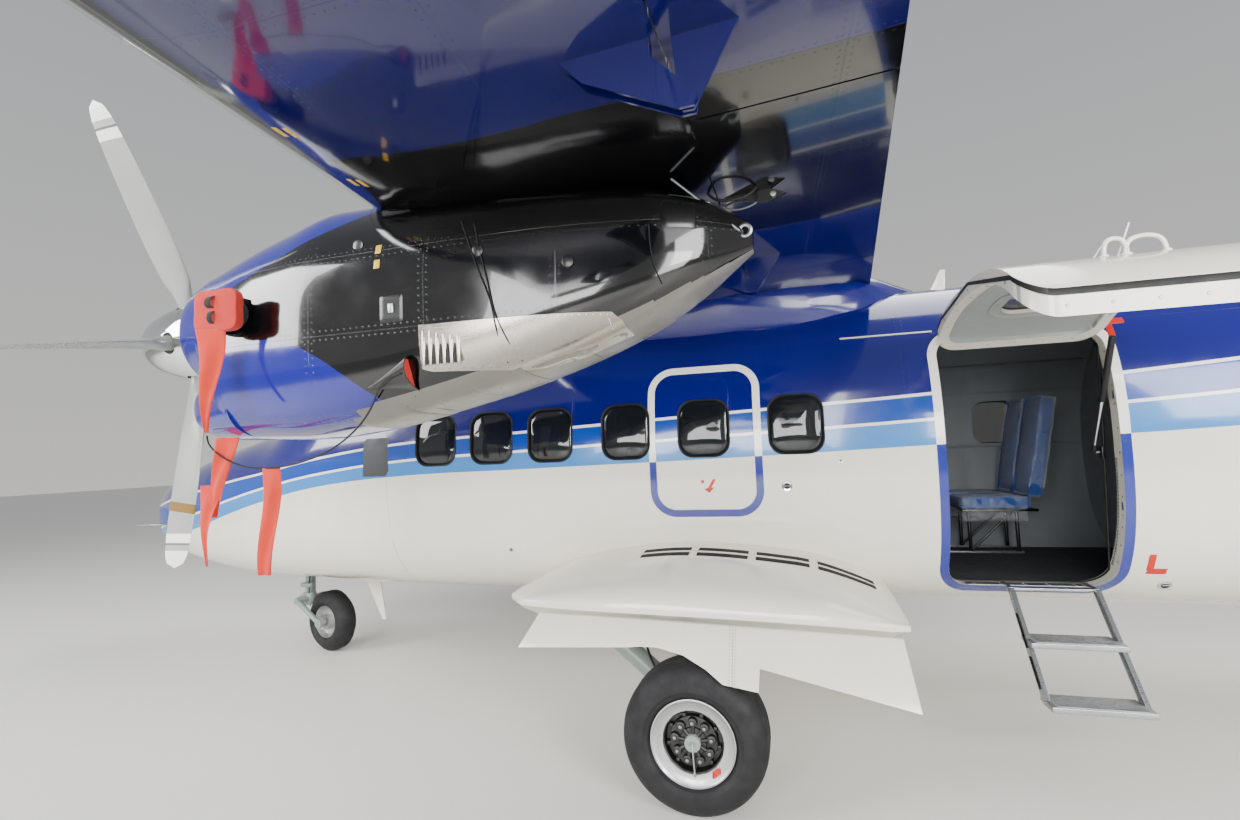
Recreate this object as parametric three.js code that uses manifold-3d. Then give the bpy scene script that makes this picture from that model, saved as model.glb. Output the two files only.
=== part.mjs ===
// A twin-engined, high-winged turboprop airliner parked on its landing gear with its entry door open.
// Millimetres. +X runs aft from the nose, +Y to starboard and +Z up, with z = 0 on the ground.
import * as THREE from 'three';
import * as BufferGeometryUtils from 'three/addons/utils/BufferGeometryUtils.js';
import Module from 'manifold-3d';

const wasm = await Module();
wasm.setup();

// Driving dimensions
const NOSE_TIP_X = -7210, TAIL_END_X = 7210, SPAN = 19980, HEIGHT = 5830;
const GAP = 0.4, PIN_GAP = 1.5, MOVE_GAP = 6;
const WHEELBASE = 3666, TRACK = 3650;
const MAIN_AXLE_X = -1460, NOSE_AXLE_X = MAIN_AXLE_X - WHEELBASE;
const MAIN_TYRE = { radius: 350, width: 290, rim: 205 };
const NOSE_TYRE = { radius: 268, width: 200, rim: 145 };
const NOSE_STEER_ANGLE = -14, NOSE_TRAIL = 330;
const PROP_X = -3870, PROP_Y = 2410, PROP_Z = 2380, PROP_RADIUS = 1150, BLADES = 5;
const BLADE_START = 28.5;
const WALL = 80, CABIN_FLOOR_Z = 860, CABIN_CEILING_Z = 2560;
const COCKPIT_FRONT_X = -5900, COCKPIT_REAR_X = -3800, CABIN_REAR_X = 1390;
const DOOR = { front: -100, rear: 735, sill: 860, top: 2320, corner: 120, openAngle: 92 };
// The leaf stops above the steps' hooks, which lie on the sill
const DOOR_SILL_GAP = 18;
const WINDOW = { width: 320, height: 356, z: 1852, corner: 95 };
const WINDOW_X = [-3390, -2950, -2510, -1980, -1470, -910];
const EXIT = { width: 620, bottom: 1340, top: 2210, corner: 120 };
const WING = { leadX: -2870, rootChord: 2534, tipChord: 1267, z: 2810, halfSpan: 9740,
  dihedral: 1.75, incidence: 2, rootThick: 0.18, tipThick: 0.12 };
const TIP_TANK = { length: 2300, radius: 240 };
const TAILPLANE = { halfSpan: 3370, rootLead: 4560, rootChord: 1720, tipChord: 860, z: 3120, dihedral: 7,
  hingeFraction: 0.62 };
const FIN = { rootLead: 4050, tipLead: 5750, rootTrail: 6560, tipTrail: TAIL_END_X, hingeRoot: 5780,
  hingeTip: 6560, rootZ: 2700 };

// The body's sections: x, half width, bottom z, top z
const BODY_SECTIONS = [
  [-7210, 45, 1255, 1345], [-7150, 150, 1160, 1440], [-6890, 360, 970, 1620], [-6310, 620, 830, 1820],
  [-5710, 800, 755, 1970], [-5210, 900, 725, 2110], [-4760, 970, 705, 2440], [-4360, 1012, 690, 2665],
  [-3800, 1040, 680, 2780], [1390, 1040, 680, 2780], [2390, 1000, 830, 2780], [3390, 870, 1100, 2780],
  [4390, 670, 1450, 2765], [5390, 430, 1830, 2725], [6090, 245, 2100, 2665], [6640, 90, 2310, 2570],
];
const BODY_UP_POWER = 2.3, BODY_LOW_POWER = 3, BODY_POINTS = 28;

const group = new THREE.Group();
const rad = THREE.MathUtils.degToRad;

function paint(color, roughness = 0.3, metalness = 0.1) {
  return new THREE.MeshStandardMaterial({ color, roughness, metalness });
}
const FINISH = {
  white: paint('#e4e2da'), blue: paint('#171a4e'), dark: paint('#15161c'), glass: paint('#20242a', 0.1),
  lining: paint('#8f939b', 0.6, 0), floor: paint('#3a3c40', 0.8, 0), seat: paint('#23406f', 0.9, 0),
  metal: paint('#a9acae', 0.35, 0.9), chrome: paint('#d8dadb', 0.12, 1), rubber: paint('#17171a', 0.85, 0),
  leg: paint('#7c8a86', 0.45, 0.3), blade: paint('#a8abae', 0.4, 0.3), red: paint('#b8201c', 0.8, 0),
};

// Solids
function solid(geometry) {
  const bare = geometry.index ? geometry.toNonIndexed() : geometry.clone();
  for (const name of Object.keys(bare.attributes)) if (name !== 'position') bare.deleteAttribute(name);
  const merged = BufferGeometryUtils.mergeVertices(bare, 1e-3);
  const made = new wasm.Manifold(new wasm.Mesh({
    numProp: 3,
    vertProperties: new Float32Array(merged.attributes.position.array),
    triVerts: new Uint32Array(merged.index.array),
  }));
  return made;
}
function geometryOf(manifold) {
  const mesh = manifold.getMesh();
  const geometry = new THREE.BufferGeometry();
  geometry.setAttribute('position', new THREE.BufferAttribute(new Float32Array(mesh.vertProperties), 3));
  geometry.setIndex(new THREE.BufferAttribute(new Uint32Array(mesh.triVerts), 1));
  return geometry;
}
function join(...solids) {
  return solids.reduce((whole, next) => whole.add(next));
}
function cut(whole, ...tools) {
  return tools.reduce((rest, tool) => rest.subtract(tool), whole);
}
function place(name, shape, material) {
  const geometry = shape.isBufferGeometry ? shape : geometryOf(shape);
  geometry.computeVertexNormals();
  const mesh = new THREE.Mesh(geometry, material);
  mesh.name = name;
  group.add(mesh);
  return mesh;
}
function mirrored(shape) {
  const geometry = geometryOf(shape);
  geometry.scale(1, -1, 1);
  const index = geometry.index.array;
  for (let i = 0; i < index.length; i += 3) [index[i], index[i + 1]] = [index[i + 1], index[i]];
  return solid(geometry);
}
// A port-side shape and its mirror image to starboard
function placePair(name, shape, material) {
  place(`port_${name}`, shape, material);
  place(`starboard_${name}`, mirrored(shape), material);
}

// Shapes
function box(x0, x1, y0, y1, z0, z1) {
  const geometry = new THREE.BoxGeometry(x1 - x0, y1 - y0, z1 - z0);
  geometry.translate((x0 + x1) / 2, (y0 + y1) / 2, (z0 + z1) / 2);
  return solid(geometry);
}
function cylinder(from, to, radius, sides = 12, endRadius = radius) {
  const start = new THREE.Vector3(...from), end = new THREE.Vector3(...to);
  const axis = end.clone().sub(start);
  const geometry = new THREE.CylinderGeometry(endRadius, radius, axis.length(), sides);
  geometry.applyQuaternion(new THREE.Quaternion().setFromUnitVectors(
    new THREE.Vector3(0, 1, 0), axis.clone().normalize()));
  geometry.translate(...start.add(end).multiplyScalar(0.5).toArray());
  return solid(geometry);
}
// A turned body about the line along the given axis through a centre; its profile is [radius, along] pairs
function turned(profile, centre, axis, sides = 24) {
  const geometry = new THREE.LatheGeometry(profile.map(([r, a]) => new THREE.Vector2(r, a)), sides);
  geometry.applyQuaternion(new THREE.Quaternion().setFromUnitVectors(
    new THREE.Vector3(0, 1, 0), new THREE.Vector3(...axis)));
  geometry.translate(...centre);
  const made = solid(geometry);
  return made.volume() < 0 ? flipped(geometry) : made;
}
function flipped(geometry) {
  const bare = geometry.index ? geometry.toNonIndexed() : geometry;
  const position = bare.attributes.position.array;
  for (let i = 0; i < position.length; i += 9) {
    for (let k = 0; k < 3; k += 1) {
      [position[i + k], position[i + 3 + k]] = [position[i + 3 + k], position[i + k]];
    }
  }
  return solid(bare);
}
// A closed skin over rings of points, each ring with the same count; its ends are closed by fans
function loft(rings) {
  const points = [], faces = [], count = rings[0].length;
  for (const ring of rings) points.push(...ring);
  for (let r = 0; r + 1 < rings.length; r += 1) {
    for (let i = 0; i < count; i += 1) {
      const a = r * count + i, b = r * count + (i + 1) % count;
      faces.push([a, b, b + count], [a, b + count, a + count]);
    }
  }
  for (const [r, outward] of [[0, false], [rings.length - 1, true]]) {
    const centre = new THREE.Vector3();
    rings[r].forEach((p) => centre.add(p));
    points.push(centre.multiplyScalar(1 / count));
    for (let i = 0; i < count; i += 1) {
      const a = r * count + i, b = r * count + (i + 1) % count;
      faces.push(outward ? [a, b, points.length - 1] : [b, a, points.length - 1]);
    }
  }
  const geometry = new THREE.BufferGeometry();
  geometry.setAttribute('position', new THREE.Float32BufferAttribute(
    faces.flat().flatMap((k) => points[k].toArray()), 3));
  const made = solid(geometry);
  return made.volume() < 0 ? flipped(geometry) : made;
}
// A plate whose outline lies in the XZ plane, between two y
function platedXZ(outline, y0, y1) {
  const shape = new THREE.Shape(outline.map(([x, z]) => new THREE.Vector2(x, z)));
  return extrudedXZ(shape, y0, y1);
}
function extrudedXZ(shape, y0, y1) {
  const geometry = new THREE.ExtrudeGeometry(shape, { depth: y1 - y0, bevelEnabled: false, curveSegments: 2 });
  geometry.rotateX(Math.PI / 2);
  geometry.translate(0, y1, 0);
  return solid(geometry);
}
function roundedXZ(x0, x1, z0, z1, corner, y0, y1) {
  const shape = new THREE.Shape();
  shape.moveTo(x0 + corner, z0);
  shape.lineTo(x1 - corner, z0);
  shape.absarc(x1 - corner, z0 + corner, corner, -Math.PI / 2, 0);
  shape.absarc(x1 - corner, z1 - corner, corner, 0, Math.PI / 2);
  shape.absarc(x0 + corner, z1 - corner, corner, Math.PI / 2, Math.PI);
  shape.absarc(x0 + corner, z0 + corner, corner, Math.PI, Math.PI * 1.5);
  return extrudedXZ(shape, y0, y1);
}

// The body
function bodyRing(x, halfWidth, bottom, top, count = BODY_POINTS) {
  const middle = (bottom + top) / 2, half = (top - bottom) / 2, ring = [];
  for (let i = 0; i < count; i += 1) {
    const angle = (i / count) * Math.PI * 2;
    const power = 2 / (Math.sin(angle) > 0 ? BODY_UP_POWER : BODY_LOW_POWER);
    const c = Math.cos(angle), s = Math.sin(angle);
    ring.push(new THREE.Vector3(x, Math.sign(c) * halfWidth * Math.abs(c) ** power,
      middle + Math.sign(s) * half * Math.abs(s) ** power));
  }
  return ring;
}
function sectionAt(x) {
  const last = BODY_SECTIONS.length - 1;
  if (x <= BODY_SECTIONS[0][0]) return BODY_SECTIONS[0].slice(1);
  for (let i = 0; i < last; i += 1) {
    const [a, b] = [BODY_SECTIONS[i], BODY_SECTIONS[i + 1]];
    if (x <= b[0]) {
      const t = (x - a[0]) / (b[0] - a[0]);
      return [1, 2, 3].map((k) => a[k] + (b[k] - a[k]) * t);
    }
  }
  return BODY_SECTIONS[last].slice(1);
}
// The body between two stations, drawn in by a depth all round; a ceiling can cap the top
function bodyBetween(x0, x1, depth = 0, ceiling = Infinity) {
  const stations = [x0, ...BODY_SECTIONS.map((s) => s[0]).filter((x) => x > x0 + 1 && x < x1 - 1), x1];
  return loft(stations.map((x) => {
    const [halfWidth, bottom, top] = sectionAt(x);
    return bodyRing(x, halfWidth - depth, bottom + depth, Math.min(top - depth, ceiling));
  }));
}

// Wings and tail
function foil(chord, thickness, camber, count = 12) {
  const upper = [], lower = [];
  for (let i = 0; i <= count; i += 1) {
    const t = (1 - Math.cos((i / count) * Math.PI)) / 2;
    const half = 5 * thickness * (0.2969 * Math.sqrt(t) - 0.126 * t - 0.3516 * t ** 2
      + 0.2843 * t ** 3 - 0.1036 * t ** 4) + 0.0012 * t;
    const mean = camber * 4 * t * (1 - t);
    upper.push([t * chord, (mean + half) * chord]);
    lower.push([t * chord, (mean - half) * chord]);
  }
  return [...upper, ...lower.slice(1).reverse()];
}
// Moves each point of a closed outline out from its neighbours' line
function grown(outline, depth) {
  const count = outline.length;
  return outline.map(([x, z], i) => {
    const [ax, az] = outline[(i + count - 1) % count], [bx, bz] = outline[(i + 1) % count];
    const length = Math.hypot(bx - ax, bz - az) || 1;
    return [x - ((bz - az) / length) * depth, z + ((bx - ax) / length) * depth];
  });
}
function wingAt(y) {
  const t = Math.abs(y) / WING.halfSpan;
  const chord = WING.rootChord + (WING.tipChord - WING.rootChord) * t;
  const lead = WING.leadX + (WING.rootChord - WING.tipChord) * 0.42 * t;
  const thickness = WING.rootThick + (WING.tipThick - WING.rootThick) * t;
  const z = WING.z + Math.abs(y) * Math.tan(rad(WING.dihedral));
  return { chord, lead, thickness, z };
}
function wingRing(y, grow = 0) {
  const { chord, lead, thickness, z } = wingAt(y);
  const tilt = Math.sin(rad(WING.incidence));
  return grown(foil(chord, thickness, 0.02), grow).map(([x, up]) =>
    new THREE.Vector3(lead + x, y, z + up - (x - chord / 2) * tilt));
}
// The wing's middle line and half thickness at a fraction of its chord
function wingHinge(y, fraction) {
  const { chord, lead, thickness, z } = wingAt(y);
  const half = 5 * thickness * (0.2969 * Math.sqrt(fraction) - 0.126 * fraction - 0.3516 * fraction ** 2
    + 0.2843 * fraction ** 3 - 0.1036 * fraction ** 4) * chord;
  const mean = 0.02 * 4 * fraction * (1 - fraction) * chord;
  return { x: lead + fraction * chord, y, half,
    z: z + mean - (fraction - 0.5) * chord * Math.sin(rad(WING.incidence)) };
}
function prismXY(points, z0, z1) {
  const shape = new THREE.Shape(points.map(([x, y]) => new THREE.Vector2(x, y)));
  const geometry = new THREE.ExtrudeGeometry(shape, { depth: z1 - z0, bevelEnabled: false });
  geometry.translate(0, 0, z0);
  return solid(geometry);
}

const AILERON_FRACTION = 0.75, FLAP_FRACTION = 0.70;
const AILERON_SPAN = [6250, 9260], FLAP_SPAN = [1150, 6200], FLAP_SPLIT = 2900;
const wingLoft = (grow = 0) => loft([-GAP / 2 + grow, -2410, -9740 - grow].map((y) => wingRing(y, grow)));
function tankSolid(grow = 0) {
  const nose = WING.leadX - 250, end = nose + TIP_TANK.length;
  const profile = [[0, -grow], [90, 20], [165, 130], [220, 380], [TIP_TANK.radius, 800], [TIP_TANK.radius, 1250],
    [190, 1700], [90, 2120], [0, TIP_TANK.length + grow]];
  return turned(profile.map(([r, a]) => [r ? r + grow : 0, a]),
    [nose + 530, -(SPAN / 2 - TIP_TANK.radius), wingAt(9740).z], [1, 0, 0], 20);
}
// The part of the wing behind a hinge line, with a round nose where it has room to turn both ways
function wingPiece([y0, y1], fraction, roundNose) {
  const near = wingHinge(-y0, fraction), far = wingHinge(-y1, fraction);
  const region = prismXY([[near.x, -y0], [200, -y0], [200, -y1], [far.x, -y1]], 2000, 4000);
  const aft = wingLoft().intersect(region);
  if (!roundNose) return aft;
  return aft.add(cylinder([near.x, near.y, near.z], [far.x, far.y, far.z], near.half - 3, 16, far.half - 3));
}
// A nose on a swept hinge line leans past its surface's end
const END_GAP = 4;
function wingBay([y0, y1], fraction, roundNose, endGap = MOVE_GAP + END_GAP) {
  const near = wingHinge(-y0, fraction), far = wingHinge(-y1, fraction);
  const room = (h) => MOVE_GAP + (roundNose ? h.half : 0);
  const innerGap = MOVE_GAP + (roundNose ? END_GAP : 0);
  return prismXY([[near.x - room(near), -y0 + innerGap], [300, -y0 + innerGap],
    [300, -y1 - endGap], [far.x - room(far), -y1 - endGap]], 2000, 4000);
}
// The flap turns on pins below the wing: each is held by two cheeks under the wing and carries the flap's arm
const FLAP_PINS = { start: [-1085, -1150, 2575], end: [-1236.5, -6200, 2729], at: [-1480, -3300, -5500], radius: 9 };
function flapPinAt(y) {
  const t = (y - FLAP_PINS.start[1]) / (FLAP_PINS.end[1] - FLAP_PINS.start[1]);
  return FLAP_PINS.start.map((v, i) => v + (FLAP_PINS.end[i] - v) * t);
}
const flapPin = (y, radius, reach) => cylinder(flapPinAt(y - reach), flapPinAt(y + reach), radius, 10);
function flapCheeks(y) {
  const [x, , z] = flapPinAt(y), lead = wingHinge(y, FLAP_FRACTION), under = lead.z - lead.half;
  const outline = [[lead.x - 330, under + 30], [lead.x - 220, under - 90], [x - 22, z - 24], [x + 20, z - 22],
    [x + 26, z + 12], [lead.x - 28, under - 50], [lead.x - 28, under + 30]];
  return join(platedXZ(outline, y - 25, y - 15), platedXZ(outline, y + 15, y + 25),
    flapPin(y, FLAP_PINS.radius, 30));
}
function flapArm(y) {
  const [x, , z] = flapPinAt(y), lead = wingHinge(y, FLAP_FRACTION), under = lead.z - lead.half;
  const outline = [[x - 22, z + 6], [x - 14, z - 22], [x + 16, z - 22], [lead.x + 230, under + 45],
    [lead.x + 26, under + 45]];
  return cut(platedXZ(outline, y - 5, y + 5), flapPin(y, FLAP_PINS.radius + PIN_GAP, 12));
}
// The flap's two lengths are split by a slot that stops short of the nose that they share
const flap = join(wingPiece(FLAP_SPAN, FLAP_FRACTION, false).subtract(
  box(-1180, 300, -FLAP_SPLIT - 4, -FLAP_SPLIT + 4, 2000, 4000)), ...FLAP_PINS.at.map(flapArm));
const aileron = wingPiece(AILERON_SPAN, AILERON_FRACTION, true);
// The flap's hinge line rises outboard, so its outer end moves outboard as it goes down
const FLAP_END_GAP = 20;
const wingFixed = cut(wingLoft(), wingBay(FLAP_SPAN, FLAP_FRACTION, false, FLAP_END_GAP),
  wingBay(AILERON_SPAN, AILERON_FRACTION, true), tankSolid(GAP));
placePair('wing', join(wingFixed, ...FLAP_PINS.at.map(flapCheeks)), FINISH.blue);
placePair('flap', flap, FINISH.blue);
placePair('aileron', aileron, FINISH.blue);
placePair('tip_tank', tankSolid(), FINISH.white);

// The body's pieces
const bothWings = (grow) => {
  const port = wingLoft(grow);
  return port.add(mirrored(port));
};
const wingRoom = bothWings(GAP);
const side = (outline, y0, y1) => platedXZ(outline, y0, y1);

const doorFrame = roundedXZ(DOOR.front, DOOR.rear, DOOR.sill, DOOR.top, DOOR.corner, -1200, -400);
const windowHole = (x, y0, y1, shrink = 0) => roundedXZ(x - WINDOW.width / 2 + shrink,
  x + WINDOW.width / 2 - shrink, WINDOW.z - WINDOW.height / 2 + shrink, WINDOW.z + WINDOW.height / 2 - shrink,
  WINDOW.corner - shrink, y0, y1);
const STARBOARD_EXTRA_X = [-370, 170, 710];
const EXIT_X = WINDOW_X[4];
const exitHole = (y0, y1, shrink = 0) => roundedXZ(EXIT_X - EXIT.width / 2 + shrink,
  EXIT_X + EXIT.width / 2 - shrink, EXIT.bottom + shrink, EXIT.top - shrink, EXIT.corner, y0, y1);
const cabinWall = cut(bodyBetween(COCKPIT_REAR_X, CABIN_REAR_X),
  bodyBetween(COCKPIT_REAR_X - 5, CABIN_REAR_X + 5, WALL, CABIN_CEILING_Z));
const portExit = cut(cabinWall.intersect(exitHole(-1300, -400, GAP)), windowHole(EXIT_X, -1300, -400));
let cabinShell = cut(cabinWall, wingRoom, doorFrame, exitHole(-1300, -400), exitHole(400, 1300));
for (const x of WINDOW_X) {
  if (x !== EXIT_X) cabinShell = cut(cabinShell, windowHole(x, -1300, -400), windowHole(x, 400, 1300));
}
for (const x of STARBOARD_EXTRA_X) cabinShell = cabinShell.subtract(windowHole(x, 400, 1300));
const strutLug = join(box(745, 765, -970, -815, 1600, 1640), cylinder([750, -835, 1620], [704, -835, 1620], 7));
place('cabin_shell', cabinShell.add(strutLug), FINISH.white);
placePair('emergency_exit', portExit, FINISH.white);

const COCKPIT_WALL = 60;
// Flat double panes in the holes, carried by the lining's strip behind them
const paneStrip = (xs) => {
  const x0 = Math.min(...xs) - 200, x1 = Math.max(...xs) + 200;
  const strip = box(x0, x1, -880, -872, WINDOW.z - 205, WINDOW.z + 195);
  return xs.reduce((whole, x) => whole.add(windowHole(x, -1008, -876, GAP + 1)), strip);
};
place('port_window_panes', paneStrip(WINDOW_X), FINISH.glass);
place('starboard_window_panes', mirrored(paneStrip([...WINDOW_X, ...STARBOARD_EXTRA_X])), FINISH.glass);

place('nose_cone', bodyBetween(NOSE_TIP_X, COCKPIT_FRONT_X - GAP), FINISH.white);
const frontPane = (y0, y1) => {
  const shape = new THREE.Shape([[y0, 2190], [y1, 2190], [y1 * 0.86, 2575], [y0, 2575]]
    .map(([y, z]) => new THREE.Vector2(y, z)));
  const geometry = new THREE.ExtrudeGeometry(shape, { depth: 1500, bevelEnabled: false });
  geometry.applyMatrix4(new THREE.Matrix4().makeBasis(new THREE.Vector3(0, 1, 0), new THREE.Vector3(0, 0, 1),
    new THREE.Vector3(1, 0, 0)));
  geometry.translate(-5700, 0, 0);
  return solid(geometry);
};
const sidePanes = [
  [[-5040, 2060], [-4470, 2010], [-4470, 2440], [-4700, 2440]],
  [[-4400, 2005], [-3950, 1985], [-3950, 2400], [-4400, 2440]],
];
let cockpitShell = cut(bodyBetween(COCKPIT_FRONT_X, COCKPIT_REAR_X - GAP),
  bodyBetween(COCKPIT_FRONT_X + 60, COCKPIT_REAR_X + 5, COCKPIT_WALL), box(-5560, -4830, -150, 150, 600, 815));
for (const pane of sidePanes) {
  cockpitShell = cut(cockpitShell, side(pane, -1300, -560), mirrored(side(pane, -1300, -560)));
}
const rightPane = frontPane(30, 600);
cockpitShell = cut(cockpitShell, rightPane, mirrored(rightPane));
place('cockpit_shell', cockpitShell, FINISH.white);
const glazing = cut(bodyBetween(-5400, -3860, COCKPIT_WALL + GAP), bodyBetween(-5405, -3855, COCKPIT_WALL + 14))
  .intersect(box(-5400, -3860, -1300, 1300, 1950, 2660));
place('cockpit_glazing', glazing, FINISH.glass);

const TAIL_WALL = 25;
const ventralFin = loft([[[5150, 1700, 8], [6350, 1990, 8]], [[5000, 2300, 14], [6300, 2300, 14]]]
  .map(([[x0, z0, w], [x1, z1]]) => [new THREE.Vector3(x0, -w, z0), new THREE.Vector3(x1, -w, z1),
    new THREE.Vector3(x1, w, z1), new THREE.Vector3(x0, w, z0)]));
const rearBody = cut(bodyBetween(CABIN_REAR_X + GAP, 6640).add(ventralFin),
  bodyBetween(CABIN_REAR_X - 5, 6090, TAIL_WALL));
place('rear_fuselage', rearBody, FINISH.white);

const cabinInside = bodyBetween(COCKPIT_REAR_X + GAP, CABIN_REAR_X - GAP, WALL + GAP, CABIN_CEILING_Z - GAP);
place('cabin_floor', cabinInside.intersect(box(COCKPIT_REAR_X + 60, CABIN_REAR_X - 60, -1200, 1200,
  CABIN_FLOOR_Z - 60, CABIN_FLOOR_Z)), FINISH.floor);
place('cockpit_bulkhead', cut(cabinInside.intersect(box(COCKPIT_REAR_X + 20, COCKPIT_REAR_X + 50, -1300, 1300,
  600, 2900)), box(-4000, -3600, -300, 300, CABIN_FLOOR_Z, 2450)), FINISH.lining);
place('rear_bulkhead', cabinInside.intersect(box(CABIN_REAR_X - 50, CABIN_REAR_X - 20, -1300, 1300,
  600, 2900)), FINISH.lining);
const cockpitRoom = bodyBetween(-5600, -3860, COCKPIT_WALL + GAP);
place('cockpit_deck', cockpitRoom.intersect(join(
  box(-5600, -3860, -1200, 1200, CABIN_FLOOR_Z - 40, CABIN_FLOOR_Z),
  box(-5180, -5100, -640, 640, 1500, 1949), box(-5120, -4850, -160, 160, CABIN_FLOOR_Z - 20, 1560))),
  FINISH.dark);

const SEAT_PITCH = 750, SEAT_FIRST_X = -3300, LEG_SPREAD = 150;
function seat(x, y, width) {
  const spread = Math.min(width / 3, LEG_SPREAD);
  const back = platedXZ([[x + 190, 1290], [x + 290, 1270], [x + 420, 2010], [x + 350, 2040]],
    y - width / 2, y + width / 2);
  const legs = [-160, 160].flatMap((dx) => [-spread, spread - 40].map((dy) =>
    box(x + dx, x + dx + 60, y + dy, y + dy + 40, CABIN_FLOOR_Z + GAP, 1200)));
  return join(box(x - 240, x + 280, y - width / 2, y + width / 2, 1190, 1310), back, ...legs);
}
function seatRow(count, y, width) {
  const spread = Math.min(width / 3, LEG_SPREAD);
  const seats = [];
  for (let i = 0; i < count; i += 1) seats.push(seat(SEAT_FIRST_X + i * SEAT_PITCH, y, width));
  const last = SEAT_FIRST_X + (count - 1) * SEAT_PITCH;
  const rail = (dy) => box(SEAT_FIRST_X - 160, last + 220, y + dy, y + dy + 40, CABIN_FLOOR_Z + GAP, 880);
  return join(...seats, rail(-spread), rail(spread - 40));
}
const crossRail = (x) => box(x, x + 60, -600, 600, CABIN_FLOOR_Z + GAP, 880);
place('cabin_seats', join(seatRow(4, -480, 440), seatRow(6, 470, 760), crossRail(SEAT_FIRST_X - 160),
  crossRail(SEAT_FIRST_X + 3 * SEAT_PITCH + 160)), FINISH.seat);
const pilotSeat = join(box(-4640, -4180, -640, -220, 1180, 1290), platedXZ([[-4240, 1280], [-4150, 1270],
  [-4060, 2000], [-4130, 2020]], -640, -220), box(-4560, -4260, -560, -500, CABIN_FLOOR_Z + GAP, 1190),
  box(-4560, -4260, -360, -300, CABIN_FLOOR_Z + GAP, 1190));
place('pilot_seats', join(pilotSeat, mirrored(pilotSeat),
  box(-4560, -4500, -560, 560, CABIN_FLOOR_Z + GAP, 880)), FINISH.seat);

// The entry door, shut in the body's side and then swung up about its top edge
const DOOR_HINGE = { y: -908, z: DOOR.top - 12 };
function doorOpened(shape) {
  const geometry = geometryOf(shape);
  geometry.translate(0, -DOOR_HINGE.y, -DOOR_HINGE.z);
  geometry.rotateX(-rad(DOOR.openAngle));
  geometry.translate(0, DOOR_HINGE.y, DOOR_HINGE.z);
  return solid(geometry);
}
const DOOR_WINDOW_X = (DOOR.front + DOOR.rear) / 2;
const leafOutline = roundedXZ(DOOR.front + MOVE_GAP, DOOR.rear - MOVE_GAP, DOOR.sill + DOOR_SILL_GAP,
  DOOR_HINGE.z, DOOR.corner - MOVE_GAP, -1300, -400);
const leafLug = box(712, 722, -935, -812, 2040, 2082);
const doorLeaf = cut(cabinWall.intersect(leafOutline), windowHole(DOOR_WINDOW_X, -1300, -400)).add(leafLug);
place('entry_door', doorOpened(doorLeaf), FINISH.white);
const doorPane = windowHole(DOOR_WINDOW_X, -1008, -960, GAP);
place('door_window', doorOpened(doorPane), FINISH.glass);

// The strut that holds the door up: its tube on the leaf, its rod on the rear door post
const STRUT = { x: 690, leaf: [-1158, 2238], post: [-835, 1620], tube: 16, rod: 8 };
function strut() {
  const at = (t) => [STRUT.x, STRUT.leaf[0] + (STRUT.post[0] - STRUT.leaf[0]) * t,
    STRUT.leaf[1] + (STRUT.post[1] - STRUT.leaf[1]) * t];
  const tube = cut(cylinder(at(0.02), at(0.552), STRUT.tube),
    cylinder(at(0.075), at(0.6), STRUT.rod + PIN_GAP));
  return [tube, cylinder(at(0.48), at(0.99), STRUT.rod)];
}
const [strutTube, strutRod] = strut();
place('door_strut_tube', strutTube, FINISH.dark);
place('door_strut_rod', strutRod, FINISH.metal);

// Boarding steps hooked over the sill
const STEPS = { front: 210, rear: 650, topZ: 866, bottomZ: 375, topY: -800, bottomY: -1240 };
function steps() {
  const run = (STEPS.bottomY - STEPS.topY) / (STEPS.bottomZ - STEPS.topZ);
  const atZ = (z) => STEPS.topY + (z - STEPS.topZ) * run;
  const rail = (x) => {
    const shape = new THREE.Shape([[atZ(STEPS.topZ) - 8, STEPS.topZ], [atZ(STEPS.topZ) - 78, STEPS.topZ],
      [STEPS.bottomY - 70, STEPS.bottomZ], [STEPS.bottomY, STEPS.bottomZ]]
      .map(([y, z]) => new THREE.Vector2(y, z)));
    const geometry = new THREE.ExtrudeGeometry(shape, { depth: 22, bevelEnabled: false });
    geometry.applyMatrix4(new THREE.Matrix4().makeBasis(new THREE.Vector3(0, 1, 0),
      new THREE.Vector3(0, 0, 1), new THREE.Vector3(1, 0, 0)));
    geometry.translate(x, 0, 0);
    return solid(geometry);
  };
  const tread = (z) => box(STEPS.front, STEPS.rear, atZ(z) - 150, atZ(z) + 10, z - 35, z);
  const hook = (x) => box(x, x + 22, STEPS.topY - 60, -700, STEPS.topZ - 5, STEPS.topZ);
  const topBar = box(STEPS.front, STEPS.rear, STEPS.topY - 60, STEPS.topY - 20, STEPS.topZ - 16, STEPS.topZ);
  return join(rail(STEPS.front), rail(STEPS.rear - 22), tread(650), tread(410), topBar, hook(STEPS.front),
    hook(STEPS.rear - 80));
}
place('boarding_steps', steps(), FINISH.metal);

// The saddle over the wing's root
const FAIRING_SECTIONS = [
  [-3560, 200, 2500, 2800], [-3300, 520, 2420, 2930], [-2870, 780, 2350, 3080], [-2300, 860, 2320, 3130],
  [-1500, 860, 2320, 3110], [-900, 820, 2340, 3040], [-450, 680, 2380, 2950], [-10, 250, 2450, 2800],
];
const fairing = cut(loft(FAIRING_SECTIONS.map(([x, w, b, t]) => bodyRing(x, w, b, t, 20))),
  bodyBetween(COCKPIT_REAR_X - 800, CABIN_REAR_X, -GAP), wingRoom);
place('wing_fairing', fairing, FINISH.blue);

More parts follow.
